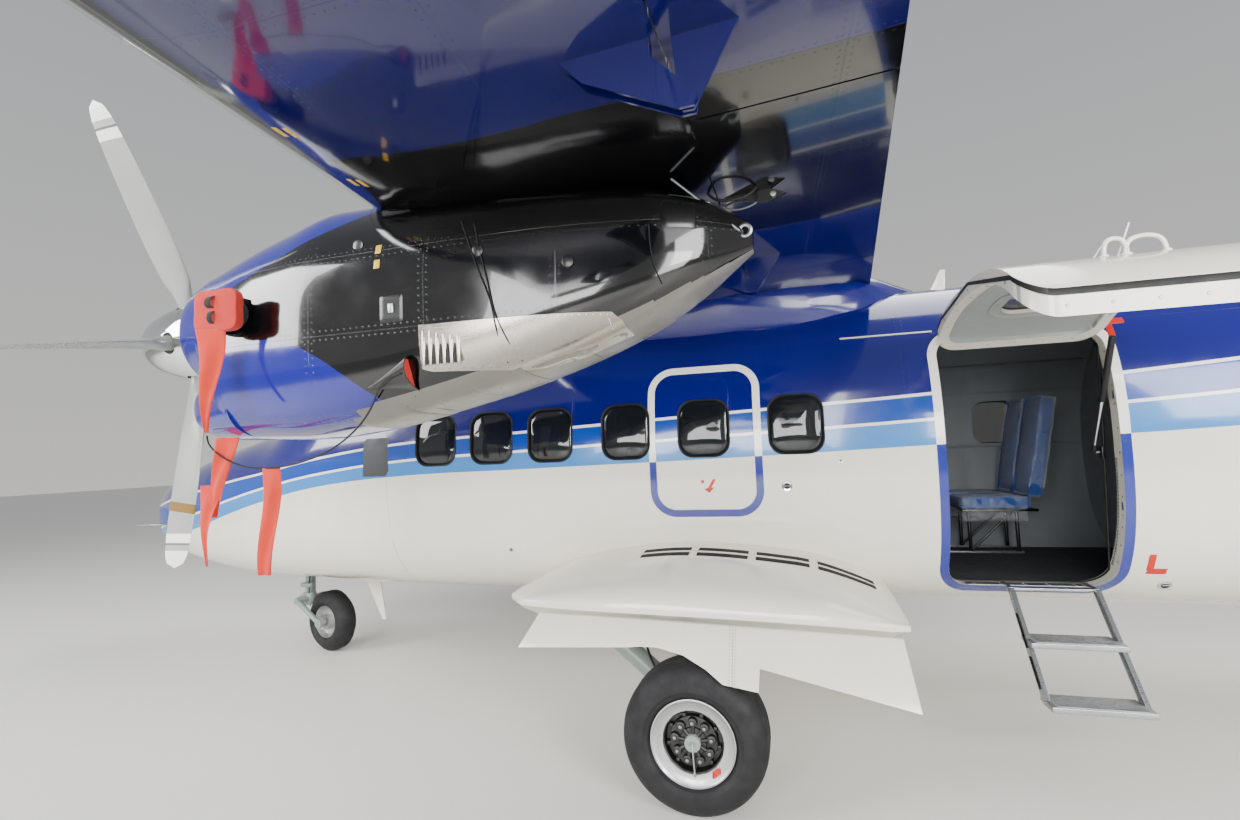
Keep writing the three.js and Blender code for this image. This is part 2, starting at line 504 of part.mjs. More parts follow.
// Fin, rudder, tailplane and elevators
function finRing(z, grow = 0) {
  const t = (z - FIN.rootZ) / (HEIGHT - FIN.rootZ);
  const lead = FIN.rootLead + (FIN.tipLead - FIN.rootLead) * t;
  const trail = FIN.rootTrail + (FIN.tipTrail - FIN.rootTrail) * t;
  return grown(foil(trail - lead, 0.09, 0, 10), grow).map(([x, up]) => new THREE.Vector3(lead + x, up, z));
}
const finHingeX = (z) => FIN.hingeRoot + (FIN.hingeTip - FIN.hingeRoot) * (z - FIN.rootZ) / (HEIGHT - FIN.rootZ);
function tailRing(y, grow = 0) {
  const t = Math.abs(y) / TAILPLANE.halfSpan;
  const chord = TAILPLANE.rootChord + (TAILPLANE.tipChord - TAILPLANE.rootChord) * t;
  const lead = TAILPLANE.rootLead + (TAILPLANE.rootChord - TAILPLANE.tipChord) * 0.6 * t;
  const z = TAILPLANE.z + Math.abs(y) * Math.tan(rad(TAILPLANE.dihedral));
  return grown(foil(chord, 0.1, 0, 10), grow).map(([x, up]) => new THREE.Vector3(lead + x, y, z + up));
}
function tailHinge(y) {
  const ring = tailRing(y), t = Math.abs(y) / TAILPLANE.halfSpan;
  const chord = TAILPLANE.rootChord + (TAILPLANE.tipChord - TAILPLANE.rootChord) * t;
  return { x: ring[0].x + TAILPLANE.hingeFraction * chord, y, z: ring[0].z, half: 0.035 * chord };
}
const tailHalf = (grow = 0) => loft([grow, -TAILPLANE.halfSpan - grow].map((y) => tailRing(y, grow)));
const tailWhole = (grow = 0) => loft([-TAILPLANE.halfSpan - grow, 0, TAILPLANE.halfSpan + grow]
  .map((y) => tailRing(y, grow)));
const ELEVATOR_ROOT = { y: 150, tip: 3300, cutback: 470 };
const rootHinge = tailHinge(-ELEVATOR_ROOT.y), tipHinge = tailHinge(-ELEVATOR_ROOT.tip);
const elevatorRegion = prismXY([[rootHinge.x, -ELEVATOR_ROOT.y], [rootHinge.x + 250, -ELEVATOR_ROOT.y],
  [6500, -ELEVATOR_ROOT.cutback], [6500, -ELEVATOR_ROOT.tip], [tipHinge.x, -ELEVATOR_ROOT.tip]], 2500, 4500);
const elevator = tailHalf().intersect(elevatorRegion).add(cylinder([rootHinge.x, rootHinge.y, rootHinge.z],
  [tipHinge.x, tipHinge.y, tipHinge.z], rootHinge.half - 3, 16, tipHinge.half - 3));
const elevatorBay = prismXY([[tailHinge(0).x - tailHinge(0).half - MOVE_GAP, 50],
  [6600, 50], [6600, -ELEVATOR_ROOT.tip - MOVE_GAP - END_GAP],
  [tipHinge.x - tipHinge.half - MOVE_GAP, -ELEVATOR_ROOT.tip - MOVE_GAP - END_GAP]], 2500, 4500);
place('tailplane', cut(tailWhole(), elevatorBay, mirrored(elevatorBay)), FINISH.white);
placePair('elevator', elevator, FINISH.white);
const RUDDER_BOTTOM = 2760;
const finWhole = loft([finRing(FIN.rootZ), finRing(HEIGHT)]);
const rudderHalf = (z) => 0.03 * (FIN.rootTrail - FIN.rootLead) * (1 - 0.42 * (z - FIN.rootZ)
  / (HEIGHT - FIN.rootZ));
const rudderRegion = side([[finHingeX(RUDDER_BOTTOM), RUDDER_BOTTOM], [7400, RUDDER_BOTTOM], [7400, HEIGHT + 5],
  [finHingeX(HEIGHT + 5), HEIGHT + 5]], -400, 400);
const rudder = finWhole.intersect(rudderRegion).add(cylinder([finHingeX(RUDDER_BOTTOM), 0, RUDDER_BOTTOM],
  [finHingeX(HEIGHT - 15), 0, HEIGHT - 15], rudderHalf(RUDDER_BOTTOM), 12, rudderHalf(HEIGHT)));
place('rudder', rudder, FINISH.blue);
const bayEdge = (z) => [finHingeX(z) - rudderHalf(z) - MOVE_GAP - END_GAP, z];
const rudderBay = side([bayEdge(2400), [7400, 2400], [7400, HEIGHT + 50], bayEdge(HEIGHT + 50)], -400, 400);
const dorsal = loft([[[2500, 2700, 8], [4700, 2700, 90]], [[3300, 2960, 6], [4750, 2960, 70]],
  [[4380, 3420, 5], [4820, 3420, 50]]].map(([[x0, z, w0], [x1, , w1]]) => [
  new THREE.Vector3(x0, -w0, z), new THREE.Vector3(x1, -w1, z), new THREE.Vector3(x1, w1, z),
  new THREE.Vector3(x0, w0, z)]));
const fin = cut(join(finWhole, dorsal), rudderBay, tailWhole(GAP), bodyBetween(CABIN_REAR_X, 6640, -GAP));
place('fin', fin, FINISH.blue);

// Nacelles with their engines, exhausts, spinners and blades; sections: x, half width, bottom z, top z
const NACELLE_SECTIONS = [
  [-3600, 278, 2120, 2690], [-3420, 335, 1850, 2755], [-3120, 370, 1840, 2840], [-2860, 385, 1860, 2900],
  [-2360, 385, 1950, 2880], [-1860, 370, 2080, 2850], [-1460, 305, 2230, 2800], [-1260, 228, 2345, 2740],
  [-1040, 50, 2500, 2610],
];
// The round cowl behind the spinner, and the intake's chin that stands forward below a notch
const COWL_SECTIONS = [
  [-3745, 236, 2150, 2622], [-3720, 254, 2130, 2644], [-3580, 290, 2095, 2700], [-3360, 330, 2040, 2760],
];
const CHIN_SECTIONS = [
  [-3765, 62, 1985, 2072], [-3752, 132, 1932, 2118], [-3705, 190, 1882, 2146], [-3590, 238, 1855, 2160],
  [-3380, 300, 1848, 2200],
];
const atNacelle = (ring) => ring.map((p) => p.setY(p.y - PROP_Y));
const nacelleLoft = (sections, grow) => loft(sections.map(([x, w, b, t]) =>
  atNacelle(bodyRing(x, w + grow, b - grow, t + grow, 20))));
const nacelleWhole = (grow = 0) => join(nacelleLoft(NACELLE_SECTIONS, grow), nacelleLoft(COWL_SECTIONS, grow),
  nacelleLoft(CHIN_SECTIONS, grow));
const ENGINE = { front: -3470, rear: -2180, half: 205, bottom: 2205, top: 2600, nose: PROP_X + 68 };
const engine = join(box(ENGINE.front, ENGINE.rear, -PROP_Y - ENGINE.half, -PROP_Y + ENGINE.half, ENGINE.bottom,
  ENGINE.top), cylinder([ENGINE.front + 10, -PROP_Y, PROP_Z], [ENGINE.nose, -PROP_Y, PROP_Z], 60));
const engineBay = join(box(ENGINE.front - 30, ENGINE.rear + 30, -PROP_Y - ENGINE.half - 20,
  -PROP_Y + ENGINE.half + 20, ENGINE.bottom - 20, ENGINE.top + 20),
  cylinder([ENGINE.front, -PROP_Y, PROP_Z], [ENGINE.nose - 40, -PROP_Y, PROP_Z], 110, 12));
const exhaustLine = (sign, out) => [-3335 + (out - 150) * 0.347, -PROP_Y + sign * out, 2372 + (out - 150) * 0.053];
const stub = (sign, grow = 0) => cylinder(exhaustLine(sign, 150), exhaustLine(sign, 395), 90 + grow, 16);
const stubBore = (sign) => cylinder(exhaustLine(sign, 280), exhaustLine(sign, 440), 78, 16);
const nacelle = cut(nacelleWhole(), wingRoom, engineBay, stub(-1, GAP), stub(1, GAP));
placePair('nacelle', nacelle, FINISH.dark);
placePair('engine', cut(join(engine, stub(-1), stub(1)), stubBore(-1), stubBore(1)), FINISH.metal);

// A padded cover plugged into the outboard exhaust, with the streamer that hangs from it
const COVER = { x: -3245, y: -2856, z: 2385, streamerEnd: 1860 };
const cover = join(box(COVER.x - 120, COVER.x + 120, COVER.y - 40, COVER.y + 20, COVER.z - 100, COVER.z + 100),
  cylinder(exhaustLine(-1, 330), exhaustLine(-1, 440), 72, 16),
  box(COVER.x - 45, COVER.x + 45, COVER.y - 34, COVER.y - 22, COVER.streamerEnd, COVER.z),
  box(COVER.x - 10, COVER.x + 10, COVER.y - 65, COVER.y - 30, COVER.z - 60, COVER.z + 60));
placePair('exhaust_cover', cover, FINISH.red);

const SPINNER_PROFILE = [[0, 0], [60, 18], [125, 90], [180, 240], [208, 420], [208, 470]];
const SPINNER_TIP_X = PROP_X - 375, SPINNER_WALL = 12;
const BLADE_SECTIONS = [
  [120, 84, 84, 0], [230, 92, 70, 0], [330, 150, 46, 8], [560, 176, 30, 5], [850, 168, 20, 0],
  [1060, 140, 14, -4], [1140, 78, 10, -6], [PROP_RADIUS, 40, 6, -6],
];
function blade(angle) {
  const rings = BLADE_SECTIONS.map(([r, chord, thick, twist]) => {
    const ring = [];
    for (let i = 0; i < 8; i += 1) {
      const a = (i / 8) * Math.PI * 2;
      const along = Math.cos(a) * chord / 2, across = Math.sin(a) * thick / 2, w = rad(twist);
      ring.push(new THREE.Vector3(along * Math.cos(w) - across * Math.sin(w),
        along * Math.sin(w) + across * Math.cos(w), r));
    }
    return ring;
  });
  const turn = new THREE.Matrix4().makeRotationX(rad(angle));
  const move = new THREE.Vector3(PROP_X, -PROP_Y, PROP_Z);
  return loft(rings.map((ring) => ring.map((p) => p.applyMatrix4(turn).add(move))));
}
function propeller() {
  const blades = [];
  for (let i = 0; i < BLADES; i += 1) blades.push(blade(BLADE_START + (i * 360) / BLADES));
  return join(cylinder([PROP_X - 70, -PROP_Y, PROP_Z], [PROP_X + 60, -PROP_Y, PROP_Z], 150, 20), ...blades);
}
function spinner() {
  const outerSkin = turned([...SPINNER_PROFILE, [0, 470]], [SPINNER_TIP_X, -PROP_Y, PROP_Z], [1, 0, 0], 16);
  const innerSkin = turned([[0, 30], ...SPINNER_PROFILE.slice(2).map(([r, a]) => [r - SPINNER_WALL, a + 12]),
    [0, 482]], [SPINNER_TIP_X, -PROP_Y, PROP_Z], [1, 0, 0], 16);
  let shell = outerSkin.subtract(innerSkin);
  for (let i = 0; i < BLADES; i += 1) {
    const a = rad(BLADE_START + (i * 360) / BLADES);
    shell = shell.subtract(cylinder([PROP_X, -PROP_Y, PROP_Z],
      [PROP_X, -PROP_Y - Math.sin(a) * 260, PROP_Z + Math.cos(a) * 260], 54, 10));
  }
  return shell;
}
placePair('propeller_blades', propeller(), FINISH.blade);
placePair('spinner', spinner(), FINISH.chrome);

// Sponsons; sections: x, chine y, chine z, top z by the body, bottom z
const SPONSON_SECTIONS = [
  [-2560, -1560, 905, 935, 870], [-2420, -1700, 905, 1000, 800], [-2060, -1745, 900, 1090, 720],
  [-1560, -1755, 892, 1140, 700], [-960, -1755, 876, 1090, 700], [-560, -1745, 856, 960, 720],
  [-450, -1700, 845, 880, 800],
];
const WHEEL_WELL = { front: -1960, rear: -1060, inner: -1560, top: 800 };
function sponson() {
  const rings = SPONSON_SECTIONS.map(([x, y, z, top, bottom]) => {
    const dome = (t) => new THREE.Vector3(x, -900 + (y + 900) * Math.sin(t), z + 12 + (top - z - 12) * Math.cos(t));
    return [new THREE.Vector3(x, -620, top), dome(0.15), dome(0.5), dome(0.85), dome(1.2), dome(Math.PI / 2),
      new THREE.Vector3(x, y, z - 12), new THREE.Vector3(x, y + 120, bottom + 25),
      new THREE.Vector3(x, y + 260, bottom), new THREE.Vector3(x, -620, bottom)];
  });
  const well = box(WHEEL_WELL.front, WHEEL_WELL.rear, -1900, WHEEL_WELL.inner, 500, WHEEL_WELL.top);
  return cut(loft(rings), bodyBetween(COCKPIT_REAR_X, CABIN_REAR_X, -GAP), well,
    box(-2200, -1300, -1560, -1330, 600, 830));
}
placePair('sponson', sponson(), FINISH.white);

// The gear door that hangs open from the chine, leaning out and cut away round the wheel
const PANEL = { lean: 0.845, hingeY: -1760, hingeZ: 890, thick: 20 };
function gearPanel() {
  const outline = [[-2288, 880], [-2361, 733], [-1794, 756], [-1718, 762], [-1626, 762], [-1494, 737],
    [-1384, 691], [-1302, 643], [-1140, 624], [-1135, 706], [-476, 592], [-501, 835], [-1560, 866]];
  const geometry = geometryOf(platedXZ(outline, -PANEL.thick, 0));
  geometry.applyMatrix4(new THREE.Matrix4().makeShear(0, 0, 0, 0, 0, PANEL.lean));
  geometry.translate(0, PANEL.hingeY - PANEL.lean * PANEL.hingeZ, 0);
  return solid(geometry);
}
placePair('gear_panel', gearPanel(), FINISH.white);

// Main gear
const AXLE = { radius: 38, bore: 38 + PIN_GAP, pivot: [-2050, -1450, 735] };
function tyreSolid({ radius, width, rim }, sides) {
  const half = width / 2, shoulder = radius - 45;
  return [[rim, -half + 30], [rim + 22, -half + 8], [(rim + shoulder) / 2 + 8, -half], [shoulder, -half + 14],
    [radius, -half * 0.45], [radius, half * 0.45], [shoulder, half - 14], [(rim + shoulder) / 2 + 8, half],
    [rim + 22, half - 8], [rim, half - 30], [rim, -half + 30]];
}
function wheelTyre(size, centre, axis = [0, 1, 0]) {
  return turned(tyreSolid(size), centre, axis, 24);
}
function wheelRim({ width, rim }, centre, bore, axis = [0, 1, 0]) {
  const half = width / 2, edge = rim - GAP * 2;
  return turned([[bore, -half + 20], [bore + 45, -half + 10], [bore + 50, -half + 65], [edge - 25, -half + 65],
    [edge, -half + 24], [edge, half - 24], [edge - 25, half - 65], [bore + 50, half - 65],
    [bore + 45, half - 10], [bore, half - 20], [bore, -half + 20]], centre, axis, 24);
}
const mainCentre = [MAIN_AXLE_X, -TRACK / 2, MAIN_TYRE.radius];
placePair('main_tyre', wheelTyre(MAIN_TYRE, mainCentre), FINISH.rubber);
placePair('main_rim', wheelRim(MAIN_TYRE, mainCentre, AXLE.bore), FINISH.metal);
const axleStart = [MAIN_AXLE_X, -1590, MAIN_TYRE.radius], axleEnd = [MAIN_AXLE_X, -1955, MAIN_TYRE.radius];
placePair('main_leg', join(cylinder(AXLE.pivot, [MAIN_AXLE_X, -1615, MAIN_TYRE.radius], 55),
  cylinder(axleStart, axleEnd, AXLE.radius), cylinder([MAIN_AXLE_X, -1570, MAIN_TYRE.radius],
    [MAIN_AXLE_X, -1655, MAIN_TYRE.radius], 70),
  cylinder([AXLE.pivot[0], -1560 + GAP, AXLE.pivot[2]], [AXLE.pivot[0], -1330 - GAP, AXLE.pivot[2]], 48),
  cylinder([-1500, -1600, 420], [-1620, -1450, 775], 42)), FINISH.leg);

// Nose gear: a leg, and the fork that turns about it
const steer = rad(NOSE_STEER_ANGLE);
const NOSE_LEG = { x: NOSE_AXLE_X - NOSE_TRAIL * Math.cos(steer), radius: 46, bottomZ: 500 };
const FORK = { crown: 440, armY: 134, arm: 24, axle: 25 };
const turnSteer = (x, y) => [NOSE_LEG.x + x * Math.cos(steer) - y * Math.sin(steer),
  x * Math.sin(steer) + y * Math.cos(steer)];
const noseCentre = [...turnSteer(NOSE_TRAIL, 0), NOSE_TYRE.radius];
const noseAxis = [-Math.sin(steer), Math.cos(steer), 0];
place('nose_tyre', wheelTyre(NOSE_TYRE, noseCentre, noseAxis), FINISH.rubber);
place('nose_rim', wheelRim(NOSE_TYRE, noseCentre, FORK.axle + PIN_GAP, noseAxis), FINISH.metal);
place('nose_leg', cylinder([NOSE_LEG.x, 0, CABIN_FLOOR_Z - 40 - GAP], [NOSE_LEG.x, 0, NOSE_LEG.bottomZ],
  NOSE_LEG.radius), FINISH.leg);
const forkAt = (x, y, z) => [...turnSteer(x, y), z];
const forkSide = (sign) => join(
  cylinder(forkAt(0, sign * FORK.armY, FORK.crown), forkAt(NOSE_TRAIL, sign * FORK.armY, NOSE_TYRE.radius),
    FORK.arm, 12),
  cylinder(forkAt(NOSE_TRAIL, sign * 152, NOSE_TYRE.radius), forkAt(NOSE_TRAIL, sign * 108, NOSE_TYRE.radius), 42));
place('nose_fork', join(cylinder([NOSE_LEG.x, 0, NOSE_LEG.bottomZ - PIN_GAP], [NOSE_LEG.x, 0, 385], 50),
  cylinder(forkAt(0, -150, FORK.crown), forkAt(0, 150, FORK.crown), 32, 12), forkSide(-1), forkSide(1),
  cylinder(forkAt(NOSE_TRAIL, -120, NOSE_TYRE.radius), forkAt(NOSE_TRAIL, 120, NOSE_TYRE.radius), FORK.axle)),
  FINISH.leg);

// Aerials
const bladeAerial = (outline, half) => platedXZ(outline, -half, half);
place('belly_aerial', cut(bladeAerial([[-4880, 760], [-4680, 760], [-4600, 270], [-4640, 270]], 9),
  bodyBetween(-5300, -3900, -GAP), bodyBetween(-4200, 0, -GAP)), FINISH.white);
place('roof_aerial', cut(bladeAerial([[60, 2740], [190, 2740], [205, 2960], [170, 2960]], 7),
  bodyBetween(-300, 900, -GAP)), FINISH.white);

export default group;
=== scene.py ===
"""The looks of a parked turboprop airliner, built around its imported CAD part. Metres, nose at -X."""
from math import copysign, cos, hypot, pi, radians, sin, sqrt, tan, tau

import bmesh
import bpy
from mathutils import Matrix, Vector
from mathutils.bvhtree import BVHTree


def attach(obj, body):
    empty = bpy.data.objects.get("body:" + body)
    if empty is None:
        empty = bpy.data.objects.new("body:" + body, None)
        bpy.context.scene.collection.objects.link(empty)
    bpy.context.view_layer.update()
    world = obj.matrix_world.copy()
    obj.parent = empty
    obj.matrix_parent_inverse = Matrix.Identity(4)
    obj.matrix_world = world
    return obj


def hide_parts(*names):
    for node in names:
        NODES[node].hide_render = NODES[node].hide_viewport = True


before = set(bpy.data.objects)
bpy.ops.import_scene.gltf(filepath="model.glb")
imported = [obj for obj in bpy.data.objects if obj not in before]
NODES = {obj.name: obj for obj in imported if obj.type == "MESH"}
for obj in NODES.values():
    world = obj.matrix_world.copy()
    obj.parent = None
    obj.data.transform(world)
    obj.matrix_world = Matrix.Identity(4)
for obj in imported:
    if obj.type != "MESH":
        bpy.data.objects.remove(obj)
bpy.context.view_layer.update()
AIRFRAME = "airframe"
SIDES = (("port", -1), ("starboard", 1))

# The camera: where the photographer stood, under the port wing
CAMERA_PLACE = Vector((-0.932, -4.841, 1.729))
CAMERA_YAW, CAMERA_PITCH, CAMERA_ROLL = radians(15.8), radians(3.86), radians(-2.18)
FOCAL_PIXELS, PHOTO_WIDTH, SENSOR = 604.65, 1240, 36.0


def place_camera():
    ahead = Vector((-sin(CAMERA_YAW) * cos(CAMERA_PITCH),
                    cos(CAMERA_YAW) * cos(CAMERA_PITCH), sin(CAMERA_PITCH)))
    level = Vector((cos(CAMERA_YAW), sin(CAMERA_YAW), 0))
    upright = level.cross(ahead)
    right = level * cos(CAMERA_ROLL) + upright * sin(CAMERA_ROLL)
    up = upright * cos(CAMERA_ROLL) - level * sin(CAMERA_ROLL)
    bpy.ops.object.camera_add()
    camera = bpy.context.object
    camera.matrix_world = Matrix((
        (right.x, up.x, -ahead.x, CAMERA_PLACE.x), (right.y, up.y, -ahead.y, CAMERA_PLACE.y),
        (right.z, up.z, -ahead.z, CAMERA_PLACE.z), (0, 0, 0, 1)))
    camera.data.sensor_width = SENSOR
    camera.data.lens = SENSOR * FOCAL_PIXELS / PHOTO_WIDTH
    camera.data.clip_start, camera.data.clip_end = 0.05, 200
    bpy.context.scene.camera = camera


# Materials
def linear(hex_colour):
    """An sRGB hex colour as linear RGBA."""
    values = [int(hex_colour[i:i + 2], 16) / 255 for i in (1, 3, 5)]
    return (*[v / 12.92 if v <= 0.04045 else ((v + 0.055) / 1.055) ** 2.4 for v in values], 1)


# Mix nodes mix colours: their setting, and the output and inputs that go with it
MIX_SETTINGS, MIX_OUTPUT = {"data_type": "RGBA"}, 2


def add(tree, kind, *inputs, output=0, **settings):
    """A node with its settings and links: kind may hold an operation after a space, inputs are in order or a dict."""
    kind, _, operation = kind.partition(" ")
    made = tree.nodes.new("ShaderNode" + kind)
    if operation:
        made.operation = operation
    if kind == "Mix":
        settings, output = {**MIX_SETTINGS, **settings}, MIX_OUTPUT
    for name, value in settings.items():
        setattr(made, name, value)
    named = inputs[0] if inputs and isinstance(inputs[0], dict) else dict(enumerate(inputs))
    for name, value in named.items():
        if isinstance(value, bpy.types.NodeSocket):
            tree.links.new(value, made.inputs[name])
        else:
            made.inputs[name].default_value = value
    return made if output is None else made.outputs[output]


def socket_title(name):
    return name.replace("_", " ").title().replace("Ior", "IOR")


def wire(tree, shader, **sockets):
    """Links node outputs to the shader's sockets."""
    for name, value in sockets.items():
        tree.links.new(value, shader.inputs[socket_title(name)])


def finish_of(name, **sockets):
    """A new material with its shader's own sockets set; returns it, its tree and its shader."""
    material = bpy.data.materials.new(name)
    material.use_nodes = True
    tree = material.node_tree
    shader = tree.nodes["Principled BSDF"]
    for socket, value in sockets.items():
        shader.inputs[socket_title(socket)].default_value = linear(value) if isinstance(value, str) else value
    return material, tree, shader


def place_of(tree):
    """Object coordinates as x, y and z."""
    return add(tree, "SeparateXYZ", add(tree, "TexCoord", output="Object"), output=None).outputs


NOISE_SPAN = (0.3, 0.7)   # most of a noise lies between these


def noise(tree, scale, detail=3.0, rough=0.5, stretch=(1, 1, 1)):
    mapped = add(tree, "Mapping", {"Vector": add(tree, "TexCoord", output="Object"), "Scale": stretch})
    return add(tree, "TexNoise", {"Vector": mapped, "Scale": scale, "Detail": detail, "Roughness": rough},
               output="Fac")


def bump(tree, shader, height, strength, distance, under=None):
    made = add(tree, "Bump", {"Height": height, "Strength": strength, "Distance": distance}, output=None)
    if under is not None:
        tree.links.new(under, made.inputs["Normal"])
    wire(tree, shader, normal=made.outputs[0])
    return made.outputs[0]


RIVET_PITCH, RIVET_HEAD = 0.030, 0.0042   # real heads are 5 mm wide; drawn at 8 mm so that they show


def rivet_rows(tree, across, along, panel, inset=0.018, offset=0.0):
    """Heads of rivets in a row on each side of seams a panel apart, and the seam itself: both 0 to 1."""
    shifted = add(tree, "Math ADD", across, offset)
    from_seam = add(tree, "Math PINGPONG", shifted, panel / 2)
    off_row = add(tree, "Math SUBTRACT", from_seam, inset)
    step = add(tree, "Math PINGPONG", along, RIVET_PITCH / 2)
    distance = add(tree, "Math SQRT",
                   add(tree, "Math ADD", add(tree, "Math MULTIPLY", off_row, off_row),
                       add(tree, "Math MULTIPLY", step, step)))
    heads = add(tree, "MapRange", distance, RIVET_HEAD, RIVET_HEAD * 0.6, 0, 1)
    seam = add(tree, "MapRange", from_seam, 0.0022, 0.0012, 0, 1)
    return heads, seam


def sheet_metal_bump(tree, shader, heads, seams, ripple=0.0009):
    """Skin that dishes a little between its frames, with rivet heads and lapped seams."""
    dish = noise(tree, 3.2, 2, 0.4)
    first = bump(tree, shader, dish, 0.35, ripple * 6)
    relief = add(tree, "Math SUBTRACT", heads, seams)
    return bump(tree, shader, relief, 0.5, 0.0012, first)


# Paint names: the livery's five colours
NIGHT_BLUE, ROYAL_BLUE, SKY_BLUE, CREAM_WHITE, LINE_WHITE = "#0e1168", "#0a3f9c", "#3d80c2", "#e2ded0", "#f1efe8"
BAND_BLUE = "#1c2a86"

# Where the livery's lines run: x, and the heights of the upper line, the lower line and the sky-blue band's foot
LIVERY = [
    (-7.21, 1.30, 1.08, 0.92), (-6.60, 1.42, 1.21, 1.07), (-5.96, 1.52, 1.33, 1.20), (-5.48, 1.60, 1.445, 1.33),
    (-5.06, 1.66, 1.535, 1.43), (-4.42, 1.761, 1.641, 1.546), (-3.69, 1.839, 1.714, 1.606),
    (-2.73, 1.881, 1.752, 1.629), (-1.20, 1.945, 1.803, 1.663), (-0.15, 1.990, 1.842, 1.696),
    (1.28, 2.083, 1.918, 1.741), (3.00, 2.25, 2.06, 1.87), (5.00, 2.49, 2.29, 2.09), (6.70, 2.72, 2.50, 2.28),
]
LINE_HALF = 0.009
# Half the wing's span, the leading edge's x at the root and its sweep, and the chord at the root and its taper
HALF_SPAN, WING_LEAD, WING_SWEEP, ROOT_CHORD, CHORD_LOSS = 9.74, -2.87, 0.532, 2.534, 1.267


def frame_band(tree, place, centre, half, corner, width):
    """A painted band round an opening in the body's side: 1 on the band."""
    x, _, z = place
    over = []
    for value, middle, reach in ((x, centre[0], half[0]), (z, centre[1], half[1])):
        away = add(tree, "Math ABSOLUTE", add(tree, "Math SUBTRACT", value, middle))
        over.append(add(tree, "Math MAXIMUM", add(tree, "Math SUBTRACT", away, reach - corner), 0))
    distance = add(tree, "Math SQRT",
                   add(tree, "Math ADD", add(tree, "Math MULTIPLY", over[0], over[0]),
                       add(tree, "Math MULTIPLY", over[1], over[1])))
    outside = add(tree, "Math SUBTRACT", distance, corner)
    return add(tree, "Math MULTIPLY", add(tree, "Math GREATER_THAN", outside, 0),
               add(tree, "Math LESS_THAN", outside, width))


# Openings in the body's side: first and last x, lowest and highest z, and the corner's radius
DOOR_EDGES = (-0.100, 0.735, 0.860, 2.320, 0.12)
EXIT_EDGES = (-1.78, -1.16, 1.34, 2.21, 0.12)
DOOR_MIDDLE, DOOR_HALF = (0.3175, 1.59), (0.4175, 0.73)
EXIT_MIDDLE, EXIT_HALF = (-1.47, 1.775), (0.310, 0.435)


def drawn_line(tree, x, points):
    """The height at x of a smooth line drawn through (x, z) points."""
    front, rear = points[0][0], points[-1][0]
    curve = add(tree, "FloatCurve", {1: add(tree, "MapRange", x, front, rear, 0, 1)}, output=None)
    marks = curve.mapping.curves[0].points
    for i, (at_x, at_z) in enumerate(points):
        place = ((at_x - front) / (rear - front), at_z / 3)
        if i in (0, len(points) - 1):
            marks[0 if i == 0 else -1].location = place
        else:
            marks.new(*place)
    curve.mapping.update()
    return add(tree, "Math MULTIPLY", curve.outputs[0], 3)


def body_paint():
    """Two-part polyurethane enamel on riveted aluminium sheet: deep gloss over a faintly dished skin."""
    material, tree, shader = finish_of("polyurethane_enamel_livery", roughness=0.16, ior=1.5, coat_weight=0.6,
                                       coat_roughness=0.04)
    x, y, z = place = place_of(tree)
    upper, lower, foot = (drawn_line(tree, x, [(row[0], row[column]) for row in LIVERY]) for column in (1, 2, 3))
    colour = add(tree, "Mix",
                 {0: add(tree, "Math GREATER_THAN", z, foot), 6: linear(CREAM_WHITE), 7: linear(SKY_BLUE)})
    colour = add(tree, "Mix", {0: add(tree, "Math GREATER_THAN", z, lower), 6: colour, 7: linear(ROYAL_BLUE)})
    colour = add(tree, "Mix", {0: add(tree, "Math GREATER_THAN", z, upper), 6: colour, 7: linear(NIGHT_BLUE)})
    for line in (upper, lower):
        gap = add(tree, "Math ABSOLUTE", add(tree, "Math SUBTRACT", z, line))
        colour = add(tree, "Mix", {0: add(tree, "Math LESS_THAN", gap, LINE_HALF), 6: colour, 7: linear(LINE_WHITE)})
    high = add(tree, "Math GREATER_THAN", z, foot)
    band_colour = add(tree, "Mix", {0: high, 6: linear(BAND_BLUE), 7: linear(LINE_WHITE)})
    doorway = add(tree, "Math MULTIPLY", frame_band(tree, place, DOOR_MIDDLE, DOOR_HALF, 0.12, 0.048),
                  add(tree, "Math LESS_THAN", y, 0))
    for band in (doorway, frame_band(tree, place, EXIT_MIDDLE, EXIT_HALF, 0.12, 0.045)):
        colour = add(tree, "Mix", {0: band, 6: colour, 7: band_colour})
    grime = add(tree, "MapRange", noise(tree, 1.7, 5, 0.6), *NOISE_SPAN, 0.94, 1.0)
    grey = add(tree, "CombineColor", grime, grime, grime)
    colour = add(tree, "Mix", {0: 1, 6: colour, 7: grey}, blend_type="MULTIPLY")
    wire(tree, shader, base_color=colour, roughness=add(tree, "MapRange", noise(tree, 9, 4), *NOISE_SPAN, 0.10, 0.17))
    heads, seams = rivet_rows(tree, x, z, 1.04, offset=0.27)
    side_heads, side_seams = rivet_rows(tree, z, x, 0.62, offset=0.12)
    sheet_metal_bump(tree, shader, add(tree, "Math MAXIMUM", heads, side_heads),
                     add(tree, "Math MAXIMUM", seams, side_seams))
    return material


def plain_paint(name, hex_colour, roughness=0.18, coat=0.5, panel=0.75, dark=0.92):
    """Gloss enamel of one colour on riveted sheet, a little uneven in shade."""
    material, tree, shader = finish_of(name, ior=1.5, coat_weight=coat, coat_roughness=0.05)
    x, y, z = place_of(tree)
    shade = linear(hex_colour)
    deeper = tuple(c * dark for c in shade[:3]) + (1,)
    wire(tree, shader, base_color=add(tree, "Mix", {0: noise(tree, 2.3, 4), 6: deeper, 7: shade}),
         roughness=add(tree, "MapRange", noise(tree, 8, 4), *NOISE_SPAN, roughness * 0.8, roughness * 1.25))
    heads, seams = rivet_rows(tree, x, add(tree, "Math ADD", y, z), panel)
    sheet_metal_bump(tree, shader, heads, seams)
    return material


